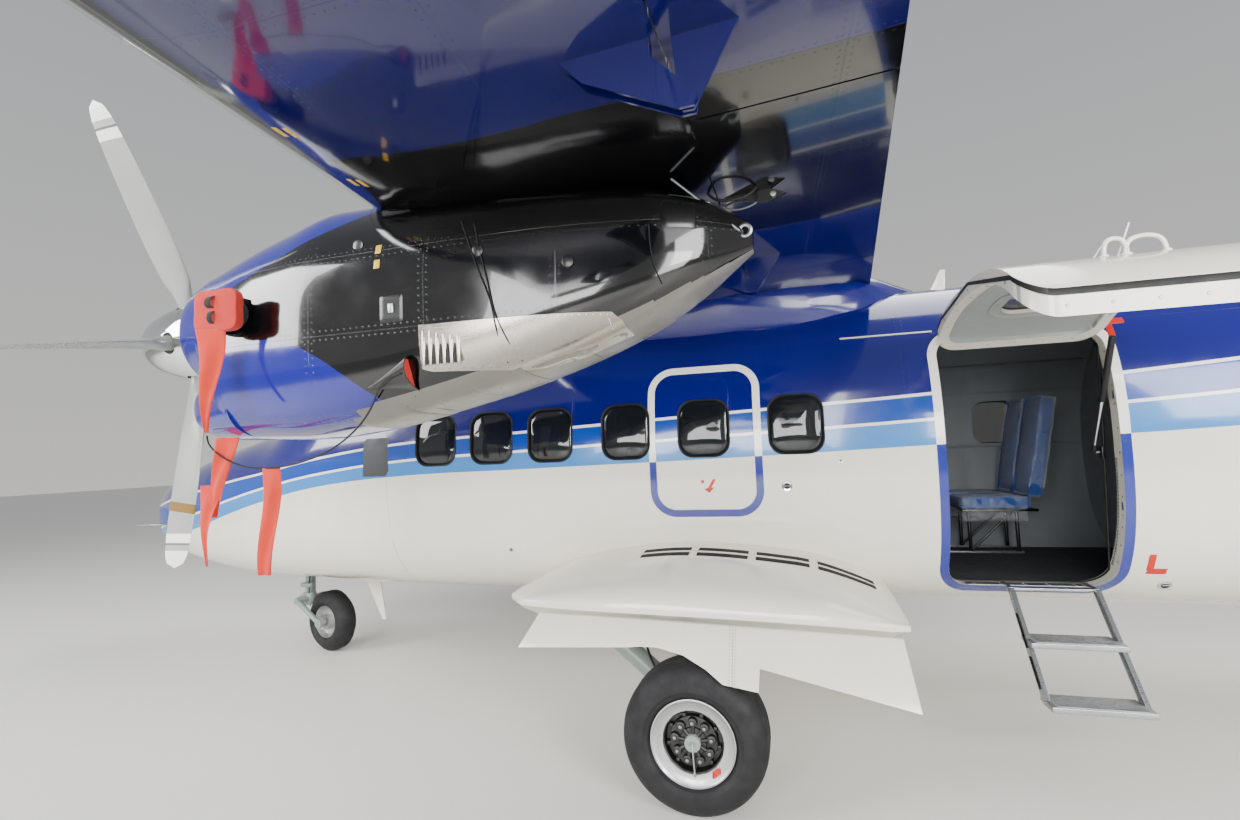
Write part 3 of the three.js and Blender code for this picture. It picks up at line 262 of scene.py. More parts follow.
def wing_paint():
    """Night-blue gloss enamel on wing sheet: rivet rows along ribs and spars, and a black boot on the leading edge
    with a painted highlight.
    """
    material, tree, shader = finish_of("gloss_enamel_wing", ior=1.5, coat_weight=0.5, coat_roughness=0.04)
    x, y, z = place_of(tree)
    span = add(tree, "Math ABSOLUTE", y)
    lead = add(tree, "MapRange", span, 0, HALF_SPAN, WING_LEAD, WING_LEAD + WING_SWEEP, clamp=False)
    behind = add(tree, "Math SUBTRACT", x, lead)
    boot = add(tree, "Math LESS_THAN", behind, 0.17)
    # A silver metal band on the boot, 35 to 85 mm behind the leading edge: a painted highlight.
    strip = add(tree, "Math MULTIPLY", add(tree, "Math GREATER_THAN", behind, 0.035),
                add(tree, "Math LESS_THAN", behind, 0.085))
    shade = add(tree, "Mix", {0: noise(tree, 1.4, 4), 6: linear("#090b3c"), 7: linear("#0d1056")})
    # Near-black on the wing's underside within 0.62 m either side of the nacelle's line.
    near_nacelle = add(tree, "Math LESS_THAN", add(tree, "Math ABSOLUTE", add(tree, "Math SUBTRACT", span, 2.48)), 0.62)
    under = add(tree, "Math LESS_THAN", z, add(tree, "MapRange", span, 0, HALF_SPAN, 2.80, 3.10, clamp=False))
    shade = add(tree, "Mix", {0: add(tree, "Math MULTIPLY", near_nacelle, under), 6: shade, 7: linear("#08080a")})
    shade = add(tree, "Mix", {0: boot, 6: shade, 7: linear("#0b0b0d")})
    shade = add(tree, "Mix", {0: strip, 6: shade, 7: linear("#c9cccf")})
    wire(tree, shader, base_color=shade, metallic=strip,
         roughness=add(tree, "MapRange", noise(tree, 7, 4), *NOISE_SPAN, 0.08, 0.16))
    heads, seams = rivet_rows(tree, y, x, 0.62)
    more, spars = rivet_rows(tree, behind, y, 0.52, offset=0.1)
    sheet_metal_bump(tree, shader, add(tree, "Math MAXIMUM", heads, more), add(tree, "Math MAXIMUM", seams, spars))
    return material


def nacelle_paint():
    """Black gloss enamel on the cowl's sides, violet-blue on its nose, back and chin."""
    material, tree, shader = finish_of("gloss_enamel_cowl", ior=1.5, coat_weight=0.6, coat_roughness=0.03)
    x, _, z = place_of(tree)
    crown = add(tree, "Math GREATER_THAN", z, drawn_line(tree, x, COWL_CROWN))
    chin = add(tree, "Math LESS_THAN", z, drawn_line(tree, x, COWL_CHIN))
    blue = add(tree, "Math MAXIMUM", add(tree, "Math MAXIMUM", crown, chin), add(tree, "Math LESS_THAN", x, -3.36))
    colour = add(tree, "Mix", {0: blue, 6: linear("#08080a"), 7: linear("#14177c")})
    wire(tree, shader, base_color=colour, roughness=add(tree, "MapRange", noise(tree, 9, 4), *NOISE_SPAN, 0.07, 0.16))
    heads, seams = rivet_rows(tree, x, z, 0.55, offset=0.1)
    more, lines = rivet_rows(tree, z, x, 0.33, offset=0.06)
    sheet_metal_bump(tree, shader, add(tree, "Math MAXIMUM", heads, more), add(tree, "Math MAXIMUM", seams, lines))
    return material


def metal(name, hex_colour, roughness, brushed=(1, 1, 1), scale=40.0, depth=0.0004, anisotropic=0.0):
    """Bare metal with fine tool or polish marks, and patches handled duller."""
    material, tree, shader = finish_of(name, base_color=hex_colour, metallic=1.0, anisotropic=anisotropic)
    shade = linear(hex_colour)
    duller = tuple(c * 0.78 for c in shade[:3]) + (1,)
    marks = noise(tree, scale, 5, 0.6, brushed)
    wire(tree, shader, base_color=add(tree, "Mix", {0: noise(tree, 6, 4), 6: duller, 7: shade}),
         roughness=add(tree, "MapRange", marks, *NOISE_SPAN, roughness * 0.7, roughness * 1.4))
    bump(tree, shader, marks, 0.25, depth)
    return material


def moulded(name, hex_colour, roughness=0.5, grain=220.0, depth=0.0003, **sockets):
    """Moulded plastic, rubber or painted liner with a fine pebbled grain."""
    material, tree, shader = finish_of(name, **sockets)
    shade = linear(hex_colour)
    deeper = tuple(c * 0.82 for c in shade[:3]) + (1,)
    wire(tree, shader, base_color=add(tree, "Mix", {0: noise(tree, 5, 4), 6: deeper, 7: shade}),
         roughness=add(tree, "MapRange", noise(tree, 14, 4), *NOISE_SPAN, roughness * 0.85, min(1, roughness * 1.2)))
    bump(tree, shader, noise(tree, grain, 2), 0.35, depth)
    return material


def woven(name, hex_colour, thread=0.0022, sheen=0.3):
    """Woven polyester webbing and cover cloth; threads of 0.5 mm are drawn four times as coarse so that they show."""
    material, tree, shader = finish_of(name, roughness=0.85, sheen_weight=sheen, sheen_roughness=0.4)
    x, y, z = place_of(tree)
    shade = linear(hex_colour)
    deeper = tuple(c * 0.62 for c in shade[:3]) + (1,)
    over = add(tree, "Math SINE", add(tree, "Math MULTIPLY", add(tree, "Math ADD", x, y), tau / thread))
    under = add(tree, "Math SINE", add(tree, "Math MULTIPLY", z, tau / thread))
    weave = add(tree, "Math MULTIPLY", over, under)
    tone = add(tree, "Math ADD", add(tree, "Math MULTIPLY", weave, 0.15), noise(tree, 7, 4))
    wire(tree, shader, base_color=add(tree, "Mix", {0: tone, 6: deeper, 7: shade}))
    bump(tree, shader, add(tree, "Math ADD", weave, add(tree, "Math MULTIPLY", noise(tree, 30, 3), 2)), 0.5, 0.0008)
    return material


def glass(name, hex_colour="#dfe6e8", roughness=0.02, alpha=0.28):
    """Stretched acrylic glazing: clear, with a soft tint and faint ripples in what it reflects."""
    material, tree, shader = finish_of(name, base_color=hex_colour, roughness=roughness, ior=1.49, alpha=alpha,
                                       coat_weight=0.5)
    bump(tree, shader, noise(tree, 4, 1), 0.2, 0.002)
    material.surface_render_method = "BLENDED"
    return material


def clear_film(name):
    """Thin polythene film: almost clear, with milky creases."""
    material, tree, shader = finish_of(name, base_color="#e6ebef", roughness=0.12, ior=1.5)
    creases = add(tree, "TexNoise", {"Vector": add(tree, "TexCoord", output="Object"), "Scale": 11, "Detail": 4,
                                     "Distortion": 2.2})
    wire(tree, shader, alpha=add(tree, "MapRange", creases, 0.40, 0.72, 0.07, 0.22))
    bump(tree, shader, creases, 0.8, 0.006)
    material.surface_render_method = "BLENDED"
    return material


COWL_CROWN = [(-3.45, 2.470), (-3.333, 2.523), (-3.015, 2.644), (-2.714, 2.759), (-2.30, 2.95), (-1.00, 2.95)]
COWL_CHIN = [(-3.45, 2.275), (-3.247, 2.269), (-2.998, 2.247), (-2.863, 2.193), (-2.63, 2.038), (-2.465, 1.906),
             (-2.25, 1.70), (-1.00, 1.20)]

LIVERY_PAINT = body_paint()  # deep gloss over rivets and lapped seams
# The wing's bright leading-edge band is a painted highlight.
WING_PAINT = wing_paint()  # near-black gloss with a bright leading edge
COWL_PAINT = nacelle_paint()  # black sides that mirror the floor, blue nose
NIGHT_PAINT = plain_paint("gloss_enamel_night_blue", "#10136a")  # deep blue gloss
WHITE_PAINT = plain_paint("gloss_enamel_cream_white", CREAM_WHITE)  # warm white gloss
BLACK_PAINT = plain_paint("satin_enamel_black", "#0c0c0e", 0.3, 0.2)  # black with a soft sheen
GREY_PRIMER = plain_paint("satin_enamel_warm_grey", "#6f6c66", 0.32, 0.1, 0.4)  # dull warm grey
CHROME = metal("polished_chromed_steel", "#e6e7ea", 0.04, scale=6, depth=0.0001)  # a sharp mirror
ALUMINIUM = metal("brushed_aluminium", "#b9bcbe", 0.3, (1, 12, 12))  # pale streaks along the grain
HEAT_SHIELD = metal("brushed_stainless_heat_shield", "#c3bdb4", 0.22, (1, 10, 10), 30)  # bright warm streaks
STEEL = metal("zinc_plated_steel", "#9fa3a4", 0.35)  # dull silver
WHEEL_ALLOY = metal("cast_magnesium_alloy_wheel", "#c4c5c5", 0.38, depth=0.0008)  # matt silver with a cast grain
LEG_ENAMEL = plain_paint("satin_enamel_gear_grey", "#7f8b85", 0.35, 0.1, 5)  # green-grey half gloss
RUBBER = moulded("vulcanised_tyre_rubber", "#111114", 0.72, 160, 0.0006)  # dusty black without highlights
SEAL_RUBBER = moulded("extruded_seal_rubber", "#0a0a0b", 0.6)  # soft black lines round openings
LINER = moulded("vacuum_formed_cabin_liner", "#7f8588", 0.55, 90, 0.0004)  # matt grey, finely pebbled
DOOR_LINER = moulded("vacuum_formed_door_liner", "#9ba09e", 0.5, 90, 0.0004)  # paler matt grey, finely pebbled
FLOOR = moulded("needled_floor_carpet", "#26272b", 0.95, 300, 0.0015)  # dark fibres that swallow light
SEAT_CLOTH = woven("woven_seat_cloth_blue", "#1f4a94")  # blue weave that glows at its edges
COVER_CLOTH = woven("padded_nylon_cover_red", "#d02a1c", 0.003, 0.2)  # strong red weave
STREAMER_CLOTH = woven("nylon_streamer_red", "#e03a24", 0.002, 0.2)  # orange-red ribbon
# The windows' near-black colour is painted shade of the cabin behind them, on a tinted pane.
WINDOW_GLASS = glass("stretched_acrylic_cabin_window", "#181b1f", alpha=0.7)  # a dark pane with a soft mirror
COCKPIT_GLASS = glass("laminated_cockpit_glass", "#3a4145", alpha=0.35)  # a thick tinted pane
EXHAUST_STEEL = metal("heat_tinted_stainless_exhaust", "#2b2725", 0.42)  # brown-black, stained by heat
JAMB_PAINT = moulded("satin_enamel_cream_jamb", "#d9d5c8", 0.35, 60, 0.0002)  # the cream edge of the doorway
BLACK_WEBBING = woven("woven_black_webbing", "#111112", 0.002, 0.15)  # matt black weave
TAN_WEBBING = woven("woven_tan_strap", "#8a6a2c", 0.002, 0.1)  # faded tan weave
RED_PAINT = moulded("gloss_enamel_signal_red", "#c4210f", 0.25, 40, 0.0001)  # clean warning red
YELLOW_PAINT = moulded("gloss_enamel_marking_yellow", "#dcb31a", 0.3, 40, 0.0001)  # clean warning yellow
BLACK_CORD = woven("braided_black_cord", "#0d0d0e", 0.003, 0.1)  # a fine dark braid
CLEAR_FILM = clear_film("creased_polythene_film")  # creases that catch the light
RED_LENS = glass("red_lamp_lens", "#c01810", 0.05, 0.85)  # a deep red lamp
GREEN_LENS = glass("green_lamp_lens", "#0f8a4a", 0.05, 0.85)  # a deep green lamp
GRIP_TAPE = moulded("anti_slip_grit_tape", "#0d0d0f", 0.9, 380, 0.0012)  # gritty black without gloss
DARK_HUB = metal("oiled_steel_hub", "#4a4a48", 0.45, depth=0.0006)  # dark oiled metal
ICE_PLATE = moulded("moulded_rubber_ice_guard", "#33343a", 0.5, 200, 0.0006)  # dark matt rubber


# Making meshes
def bare_scene():
    for o in bpy.context.selected_objects:
        o.select_set(False)
    bpy.context.view_layer.objects.active = None


def only(piece):
    """Nothing but this piece is selected."""
    bare_scene()
    piece.select_set(True)
    bpy.context.view_layer.objects.active = piece


def put_material(piece, material):
    piece.data.materials.clear()
    piece.data.materials.append(material)
    return piece


def titled(name):
    """The piece just made, under its name."""
    piece = bpy.context.object
    piece.name = piece.data.name = name
    return piece


def in_edit(piece, work):
    only(piece)
    bpy.ops.object.mode_set(mode="EDIT")
    bpy.ops.mesh.select_all(action="SELECT")
    work()
    bpy.ops.object.mode_set(mode="OBJECT")
    return piece


def settle(piece, angle=35, merge=0.0001):
    """Merges doubles, turns faces outwards and shades smooth up to an angle."""
    def clean():
        bpy.ops.mesh.remove_doubles(threshold=merge)
        bpy.ops.mesh.dissolve_degenerate(threshold=merge / 2)
        bpy.ops.mesh.normals_make_consistent(inside=False)
    in_edit(piece, clean)
    look = bmesh.new()
    look.from_mesh(piece.data)
    inside_out = all(edge.is_manifold for edge in look.edges) and look.calc_volume(signed=True) < 0
    look.free()
    if inside_out:
        in_edit(piece, lambda: bpy.ops.mesh.flip_normals())
    bpy.ops.object.shade_smooth_by_angle(angle=radians(angle))
    return piece


def seated(piece):
    """Its place goes into its mesh, so that the object sits at the origin."""
    piece.data.transform(piece.matrix_world)
    piece.matrix_world = Matrix.Identity(4)
    return piece


def modify(piece, kind, **settings):
    made = piece.modifiers.new(kind.lower(), kind)
    for name, value in settings.items():
        setattr(made, name, value)
    only(piece)
    bpy.ops.object.modifier_apply(modifier=made.name)
    return piece


def inner(t, rim):
    """A grid's parameter with a rim at each end left out: 0 to 1 over what lies between."""
    return min(1, max(0, (t - rim) / (1 - 2 * rim)))


def off_rim(u, v):
    return 0 < u < 1 and 0 < v < 1


def ruled(name, across, along, surface, material, angle=35):
    """A grid whose points are laid on a surface: surface(u, v) with u and v from 0 to 1."""
    bare_scene()
    bpy.ops.mesh.primitive_grid_add(x_subdivisions=across, y_subdivisions=along, size=1)
    piece = titled(name)
    for vertex in piece.data.vertices:
        vertex.co = surface(vertex.co.x + 0.5, vertex.co.y + 0.5)
    settle(piece, angle)
    return put_material(piece, material)


def outline_solid(name, outline, push, material, angle=35, fill="NGON"):
    """A disc primitive whose rim is laid on an outline of points, then extruded along a vector."""
    bare_scene()
    bpy.ops.mesh.primitive_circle_add(vertices=len(outline), fill_type=fill)
    piece = titled(name)
    for vertex, point in zip(piece.data.vertices, outline):
        vertex.co = point
    in_edit(piece, lambda: bpy.ops.mesh.extrude_region_move(TRANSFORM_OT_translate={"value": push}))
    settle(piece, angle)
    return put_material(piece, material)


def turned(name, profile, centre, axis, material, steps=64, angle=35):
    """A closed profile of (radius, along) pairs spun once about an axis through a centre."""
    along = Vector(axis).normalized()
    side = along.orthogonal().normalized()
    bare_scene()
    bpy.ops.mesh.primitive_circle_add(vertices=len(profile), fill_type="NOTHING")
    piece = titled(name)
    middle = Vector(centre)
    for vertex, (radius, reach) in zip(piece.data.vertices, profile):
        vertex.co = middle + side * radius + along * reach
    in_edit(piece, lambda: bpy.ops.mesh.spin(steps=steps, angle=tau, center=middle, axis=along))
    settle(piece, angle)
    return put_material(piece, material)


def rod(name, start, end, radius, material, sides=20, end_radius=None, bevel=0.0):
    """A round bar between two points, with eased ends."""
    start, end = Vector(start), Vector(end)
    along = end - start
    bare_scene()
    bpy.ops.mesh.primitive_cone_add(vertices=sides, radius1=radius, depth=along.length,
                                    radius2=radius if end_radius is None else end_radius)
    piece = titled(name)
    piece.matrix_world = Matrix.Translation((start + end) / 2) @ along.to_track_quat("Z", "Y").to_matrix().to_4x4()
    seated(piece)
    if bevel:
        modify(piece, "BEVEL", width=bevel, segments=3, limit_method="ANGLE", angle_limit=radians(50))
    settle(piece, 40)
    return put_material(piece, material)


def tube(name, points, radius, material, sides=12, closed=False):
    """A round tube along points, made as a bevelled curve and turned to a mesh."""
    curve = bpy.data.curves.new(name, "CURVE")
    curve.dimensions = "3D"
    curve.bevel_depth, curve.bevel_resolution = radius, max(1, sides // 4)
    curve.use_fill_caps = True
    spline = curve.splines.new("NURBS")
    spline.points.add(len(points) - 1)
    for target, point in zip(spline.points, points):
        target.co = (*point, 1)
    spline.use_endpoint_u, spline.order_u, spline.use_cyclic_u = not closed, 4, closed
    spline.resolution_u = 8
    piece = bpy.data.objects.new(name, curve)
    bpy.context.collection.objects.link(piece)
    only(piece)
    bpy.ops.object.convert(target="MESH")
    piece = titled(name)
    settle(piece, 50, 0.00002)
    return put_material(piece, material)


def block(name, low, high, material, bevel=0.004, segments=3, turn=None):
    """A box primitive between two corners with rounded edges."""
    low, high = Vector(low), Vector(high)
    bare_scene()
    bpy.ops.mesh.primitive_cube_add(size=1, location=(low + high) / 2)
    piece = titled(name)
    piece.scale = high - low
    if turn:
        piece.rotation_euler = turn
    bpy.context.view_layer.update()
    seated(piece)
    if bevel:
        modify(piece, "BEVEL", width=bevel, segments=segments, limit_method="ANGLE")
    settle(piece, 40)
    return put_material(piece, material)


def joined(name, pieces):
    bare_scene()
    for o in pieces:
        o.select_set(True)
    bpy.context.view_layer.objects.active = pieces[0]
    if len(pieces) > 1:
        bpy.ops.object.join()
    whole = bpy.context.object
    whole.name = whole.data.name = name
    return whole


def carve(piece, tool, operation="DIFFERENCE", keep=False):
    modify(piece, "BOOLEAN", object=tool, operation=operation, solver="EXACT")
    if not keep:
        bpy.data.objects.remove(tool)
    return piece


def copy_of(piece, name):
    other = piece.copy()
    other.data = piece.data.copy()
    other.name = other.data.name = name
    bpy.context.collection.objects.link(other)
    return other


def mirror_of(piece, name):
    """The same piece on the other side, turned right way out."""
    other = copy_of(piece, name)
    other.data.transform(Matrix.Scale(-1, 4, (0, 1, 0)))
    in_edit(other, lambda: bpy.ops.mesh.flip_normals())
    return other


def ridden(piece, body=AIRFRAME, *replaced, slot=None):
    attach(piece, body)
    if replaced:
        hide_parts(*replaced)
    return piece


def dressed(name, node, material, body=AIRFRAME, slot=None, angle=28, bevel=0.0):
    """A smoothed copy of a CAD node that stands for it."""
    piece = bpy.data.objects.new(name, NODES[node].data.copy())
    bpy.context.collection.objects.link(piece)
    only(piece)
    bpy.ops.mesh.customdata_custom_splitnormals_clear()

    def clean():
        bpy.ops.mesh.remove_doubles(threshold=0.0002)
        bpy.ops.mesh.dissolve_limited(angle_limit=radians(0.6))
    in_edit(piece, clean)
    if bevel:
        modify(piece, "BEVEL", width=bevel, segments=2, limit_method="ANGLE", angle_limit=radians(40))
    bpy.ops.object.shade_smooth_by_angle(angle=radians(angle))
    put_material(piece, material)
    return ridden(piece, body, node, slot=slot)


# The body's smooth skin
BODY_SECTIONS = [
    (-7.210, 0.045, 1.255, 1.345), (-7.150, 0.150, 1.160, 1.440), (-6.890, 0.360, 0.970, 1.620),
    (-6.310, 0.620, 0.830, 1.820), (-5.710, 0.800, 0.755, 1.970), (-5.210, 0.900, 0.725, 2.110),
    (-4.760, 0.970, 0.705, 2.440), (-4.360, 1.012, 0.690, 2.665), (-3.800, 1.040, 0.680, 2.780),
    (1.390, 1.040, 0.680, 2.780), (2.390, 1.000, 0.830, 2.780), (3.390, 0.870, 1.100, 2.780),
    (4.390, 0.670, 1.450, 2.765), (5.390, 0.430, 1.830, 2.725), (6.090, 0.245, 2.100, 2.665),
    (6.640, 0.090, 2.310, 2.570),
]
BODY_UP_POWER, BODY_LOW_POWER, WALL = 2.3, 3.0, 0.080


def along_table(table, x, columns):
    """Values at x from a table of sections, as a monotone curve through its rows."""
    if x <= table[0][0]:
        return [table[0][k] for k in columns]
    for i in range(len(table) - 1):
        a, b = table[i], table[i + 1]
        if x <= b[0]:
            width = b[0] - a[0]
            t = (x - a[0]) / width
            values = []
            for k in columns:
                slope = (b[k] - a[k]) / width
                before = (a[k] - table[i - 1][k]) / (a[0] - table[i - 1][0]) if i else slope
                after = (table[i + 2][k] - b[k]) / (table[i + 2][0] - b[0]) if i + 2 < len(table) else slope
                start = 0 if before * slope <= 0 else 2 * before * slope / (before + slope)
                end = 0 if after * slope <= 0 else 2 * after * slope / (after + slope)
                h1, h2 = 2 * t ** 3 - 3 * t ** 2 + 1, -2 * t ** 3 + 3 * t ** 2
                h3, h4 = t ** 3 - 2 * t ** 2 + t, t ** 3 - t ** 2
                values.append(h1 * a[k] + h2 * b[k] + (h3 * start + h4 * end) * width)
            return values
    return [table[-1][k] for k in columns]


def ring_point(x, half_width, bottom, top, turn, centre_y=0.0, up=BODY_UP_POWER, low=BODY_LOW_POWER):
    middle, half = (bottom + top) / 2, (top - bottom) / 2
    c, s = cos(turn), sin(turn)
    power = 2 / (up if s > 0 else low)
    return Vector((x, centre_y + copysign(half_width * abs(c) ** power, c),
                   middle + copysign(half * abs(s) ** power, s)))


def body_point(x, turn, depth=0.0):
    half_width, bottom, top = along_table(BODY_SECTIONS, x, (1, 2, 3))
    return ring_point(x, max(0.001, half_width - depth), bottom + depth, top - depth, turn)


def body_side(x, z, depth=0.0):
    """The port side's y at x and z."""
    half_width, bottom, top = along_table(BODY_SECTIONS, x, (1, 2, 3))
    half_width, bottom, top = half_width - depth, bottom + depth, top - depth
    middle, half = (bottom + top) / 2, (top - bottom) / 2
    share = min(0.9999, abs(z - middle) / half)
    power = BODY_UP_POWER if z > middle else BODY_LOW_POWER
    return -half_width * (1 - share ** power) ** (1 / power)


def body_length(name, x0, x1, stations, depth=0.0, around=96, front=0.0, rear=0.0):
    """A closed length of the body; front and rear say how much its ends bulge."""
    def surface(u, v):
        along = round(u * (stations + 2)) - 1
        if along < 0 or along > stations:
            x = x0 - front if along < 0 else x1 + rear
            bottom, top = along_table(BODY_SECTIONS, max(x, x0), (2, 3))
            return Vector((x, 0, (bottom + top) / 2))
        return body_point(x0 + (x1 - x0) * along / stations, v * tau, depth)
    return ruled(name, stations + 2, around, surface, LIVERY_PAINT, 30)


def rounded_outline(x0, x1, z0, z1, corner, y, steps=6):
    points = []
    for cx, cz, start in ((x1 - corner, z1 - corner, 0), (x0 + corner, z1 - corner, 90),
                          (x0 + corner, z0 + corner, 180), (x1 - corner, z0 + corner, 270)):
        for i in range(steps + 1):
            a = radians(start + 90 * i / steps)
            points.append(Vector((cx + corner * cos(a), y, cz + corner * sin(a))))
    return points


def round_outline(outline, v):
    """The place at a share of the way round a closed outline."""
    spot = v * len(outline)
    i = int(spot) % len(outline)
    return outline[i].lerp(outline[(i + 1) % len(outline)], spot - int(spot))


WINDOW_HALF, WINDOW_Z, WINDOW_CORNER = (0.160, 0.178), 1.852, 0.095
PORT_WINDOWS = [-3.39, -2.95, -2.51, -1.98, -1.47, -0.91]
STARBOARD_WINDOWS = PORT_WINDOWS + [-0.37, 0.17, 0.71]


def window_outline(x, y, grow=0.0, z=WINDOW_Z):
    return rounded_outline(x - WINDOW_HALF[0] - grow, x + WINDOW_HALF[0] + grow, z - WINDOW_HALF[1] - grow,
                           z + WINDOW_HALF[1] + grow, WINDOW_CORNER + grow, y)


def window_tools():
    tools = [outline_solid("tool", window_outline(x, -1.3), (0, 0.8, 0), LIVERY_PAINT) for x in PORT_WINDOWS]
    tools += [outline_solid("tool", window_outline(x, 0.5), (0, 0.8, 0), LIVERY_PAINT) for x in STARBOARD_WINDOWS]
    return joined("window_tools", tools)


def hollow_length(name, x0, x1, stations, wall, overlap=0.02):
    skin = body_length(name, x0, x1, stations)
    room = body_length("room", x0 - overlap, x1 + overlap, stations, wall)
    return carve(skin, room)


def lined(piece, material, depth=0.055):
    """Faces that lie well under the body's surface take the cabin's lining."""
    piece.data.materials.append(material)
    for face in piece.data.polygons:
        at = face.center
        y = body_side(at.x, at.z)
        bottom, top = along_table(BODY_SECTIONS, at.x, (2, 3))
        above = top - depth < at.z or at.z < bottom + depth
        if abs(at.y) < abs(y) - depth and not above:
            face.material_index = 1
    return piece


def cut_outline(edges, sign, shrink=0.0):
    """The tool that cuts an opening through one side of the body."""
    x0, x1, z0, z1, corner = edges
    near, far = (0.5, 1.3) if sign > 0 else (-1.3, -0.5)
    outline = rounded_outline(x0 + shrink, x1 - shrink, z0 + shrink, z1 - shrink, corner, near, 8)
    return outline_solid("cut", outline, (0, far - near, 0), LIVERY_PAINT)


def cabin():
    skin = hollow_length("cabin_skin", -3.8, 1.39, 40, WALL)
    carve(skin, window_tools())
    for side_name, sign in SIDES:
        exit_panel = copy_of(skin, side_name + "_exit_panel")
        carve(exit_panel, cut_outline(EXIT_EDGES, sign, 0.0015), "INTERSECT")
        carve(skin, cut_outline(EXIT_EDGES, sign))
        settle(exit_panel, 30)
        lined(exit_panel, LINER)
        ridden(exit_panel, AIRFRAME, side_name + "_emergency_exit", slot="white_skin")
    carve(skin, cut_outline(DOOR_EDGES, -1))
    settle(skin, 30)
    lined(skin, LINER)
    faces_take(skin, JAMB_PAINT, on_jamb)
    ridden(skin, AIRFRAME, "cabin_shell", slot="white_skin")


def nose_and_tail():
    nose = body_length("nose_skin", -7.21, -5.902, 24)
    ridden(nose, AIRFRAME, "nose_cone", slot="white_skin")
    cockpit = hollow_length("cockpit_skin", -5.898, -3.802, 26, 0.028)
    sides = [[(-5.04, 2.06), (-4.47, 2.01), (-4.47, 2.44), (-4.70, 2.44)],
             [(-4.40, 2.005), (-3.95, 1.985), (-3.95, 2.40), (-4.40, 2.44)]]
    for pane in sides:
        for start in (-1.3, 0.56):
            carve(cockpit, outline_solid("pane", [Vector((x, start, z)) for x, z in pane], (0, 0.74, 0),
                                         LIVERY_PAINT))
    for sign in (-1, 1):
        front = [Vector((-5.7, sign * y, z)) for y, z in ((0.03, 2.19), (0.60, 2.19), (0.516, 2.575), (0.03, 2.575))]
        carve(cockpit, outline_solid("pane", front, (1.5, 0, 0), LIVERY_PAINT))
    well = block("well", (-5.56, -0.15, 0.6), (-4.83, 0.15, 0.815), LIVERY_PAINT, 0)
    carve(cockpit, well)
    settle(cockpit, 30)
    lined(cockpit, LINER, 0.02)
    ridden(cockpit, AIRFRAME, "cockpit_shell", slot="white_skin")
    panes = body_length("cockpit_panes", -5.40, -3.86, 22, 0.030)
    carve(panes, body_length("room", -5.42, -3.84, 22, 0.038))
    carve(panes, block("room", (-5.5, -1.2, 1.95), (-3.8, 1.2, 2.68), COCKPIT_GLASS, 0), "INTERSECT")
    settle(panes, 30)
    put_material(panes, COCKPIT_GLASS)
    ridden(panes, AIRFRAME, "cockpit_glazing", slot="glass")
    rear = body_length("rear_skin", 1.392, 6.64, 60, rear=0.03)
    keel = outline_solid("keel",
                         [Vector((x, -0.011, z)) for x, z in ((5.15, 1.70), (6.35, 1.99), (6.30, 2.32), (5.0, 2.32))],
                         (0, 0.022, 0), LIVERY_PAINT)
    modify(keel, "BEVEL", width=0.008, segments=3, limit_method="ANGLE")
    rear = joined("rear_skin", [rear, keel])
    ridden(rear, AIRFRAME, "rear_fuselage", slot="white_skin")


def cabin_window(name, x, sign, glass_piece):
    """A cabin window that follows the skin: its domed pane, or the rubber bead round it."""
    around = 48

    def at(share, v, out):
        edge = round_outline(window_outline(x, 0, -0.002, WINDOW_Z), v)
        px, pz = x + (edge.x - x) * share, WINDOW_Z + (edge.z - WINDOW_Z) * share
        return Vector((px, sign * (abs(body_side(px, pz)) + out), pz))
    if glass_piece:
        def surface(u, v):
            share = 1 - abs(1 - 2 * u)
            crown = 0.013 * (1 - share ** 3)
            return at(share * 0.985, v, (-0.010 if u < 0.5 else -0.018) + crown)
        return ruled(name, 24, around, surface, WINDOW_GLASS, 40)

    bead = [(1.045, -0.004), (1.05, 0.001), (1.035, 0.004), (1.01, 0.0035), (0.985, -0.002), (0.965, -0.012),
            (0.962, -0.03), (1.0, -0.03)]

    def surface(u, v):
        share, out = bead[round(u * len(bead)) % len(bead)]
        return at(share, v, out)
    return ruled(name, len(bead), around, surface, SEAL_RUBBER, 50)


def windows():
    for sign, side_name, places in ((-1, "port", PORT_WINDOWS), (1, "starboard", STARBOARD_WINDOWS)):
        panes = joined(side_name + "_window_glass", [cabin_window("pane", x, sign, True) for x in places])
        ridden(panes, AIRFRAME, side_name + "_window_panes", slot="glass")
        beads = joined(side_name + "_window_beads", [cabin_window("bead", x, sign, False) for x in places])
        ridden(beads)


# The entry door, shaped shut and swung up
DOOR_HINGE_Y, DOOR_HINGE_Z, DOOR_OPEN = -0.908, 2.308, radians(92)
DOOR_X = DOOR_EDGES[:2]


def swing_up(piece):
    hinge = Vector((0, DOOR_HINGE_Y, DOOR_HINGE_Z))
    piece.data.transform(Matrix.Translation(hinge) @ Matrix.Rotation(-DOOR_OPEN, 4, "X") @ Matrix.Translation(-hinge))
    return piece


def on_jamb(at, way):
    """Faces of the doorway's own edge, through the thickness of the wall."""
    x0, x1, z0, z1, corner = DOOR_EDGES
    over_x = max(x0 + corner - at.x, at.x - x1 + corner, 0)
    over_z = max(z0 + corner - at.z, at.z - z1 + corner, 0)
    return at.y < -0.3 and abs(hypot(over_x, over_z) - corner) < 0.006 and abs(way.y) < 0.6


def on_leaf(x, z, depth=0.0):
    """A point of the shut door at x and z, a depth under its outer skin."""
    return Vector((x, body_side(x, z, depth), z))


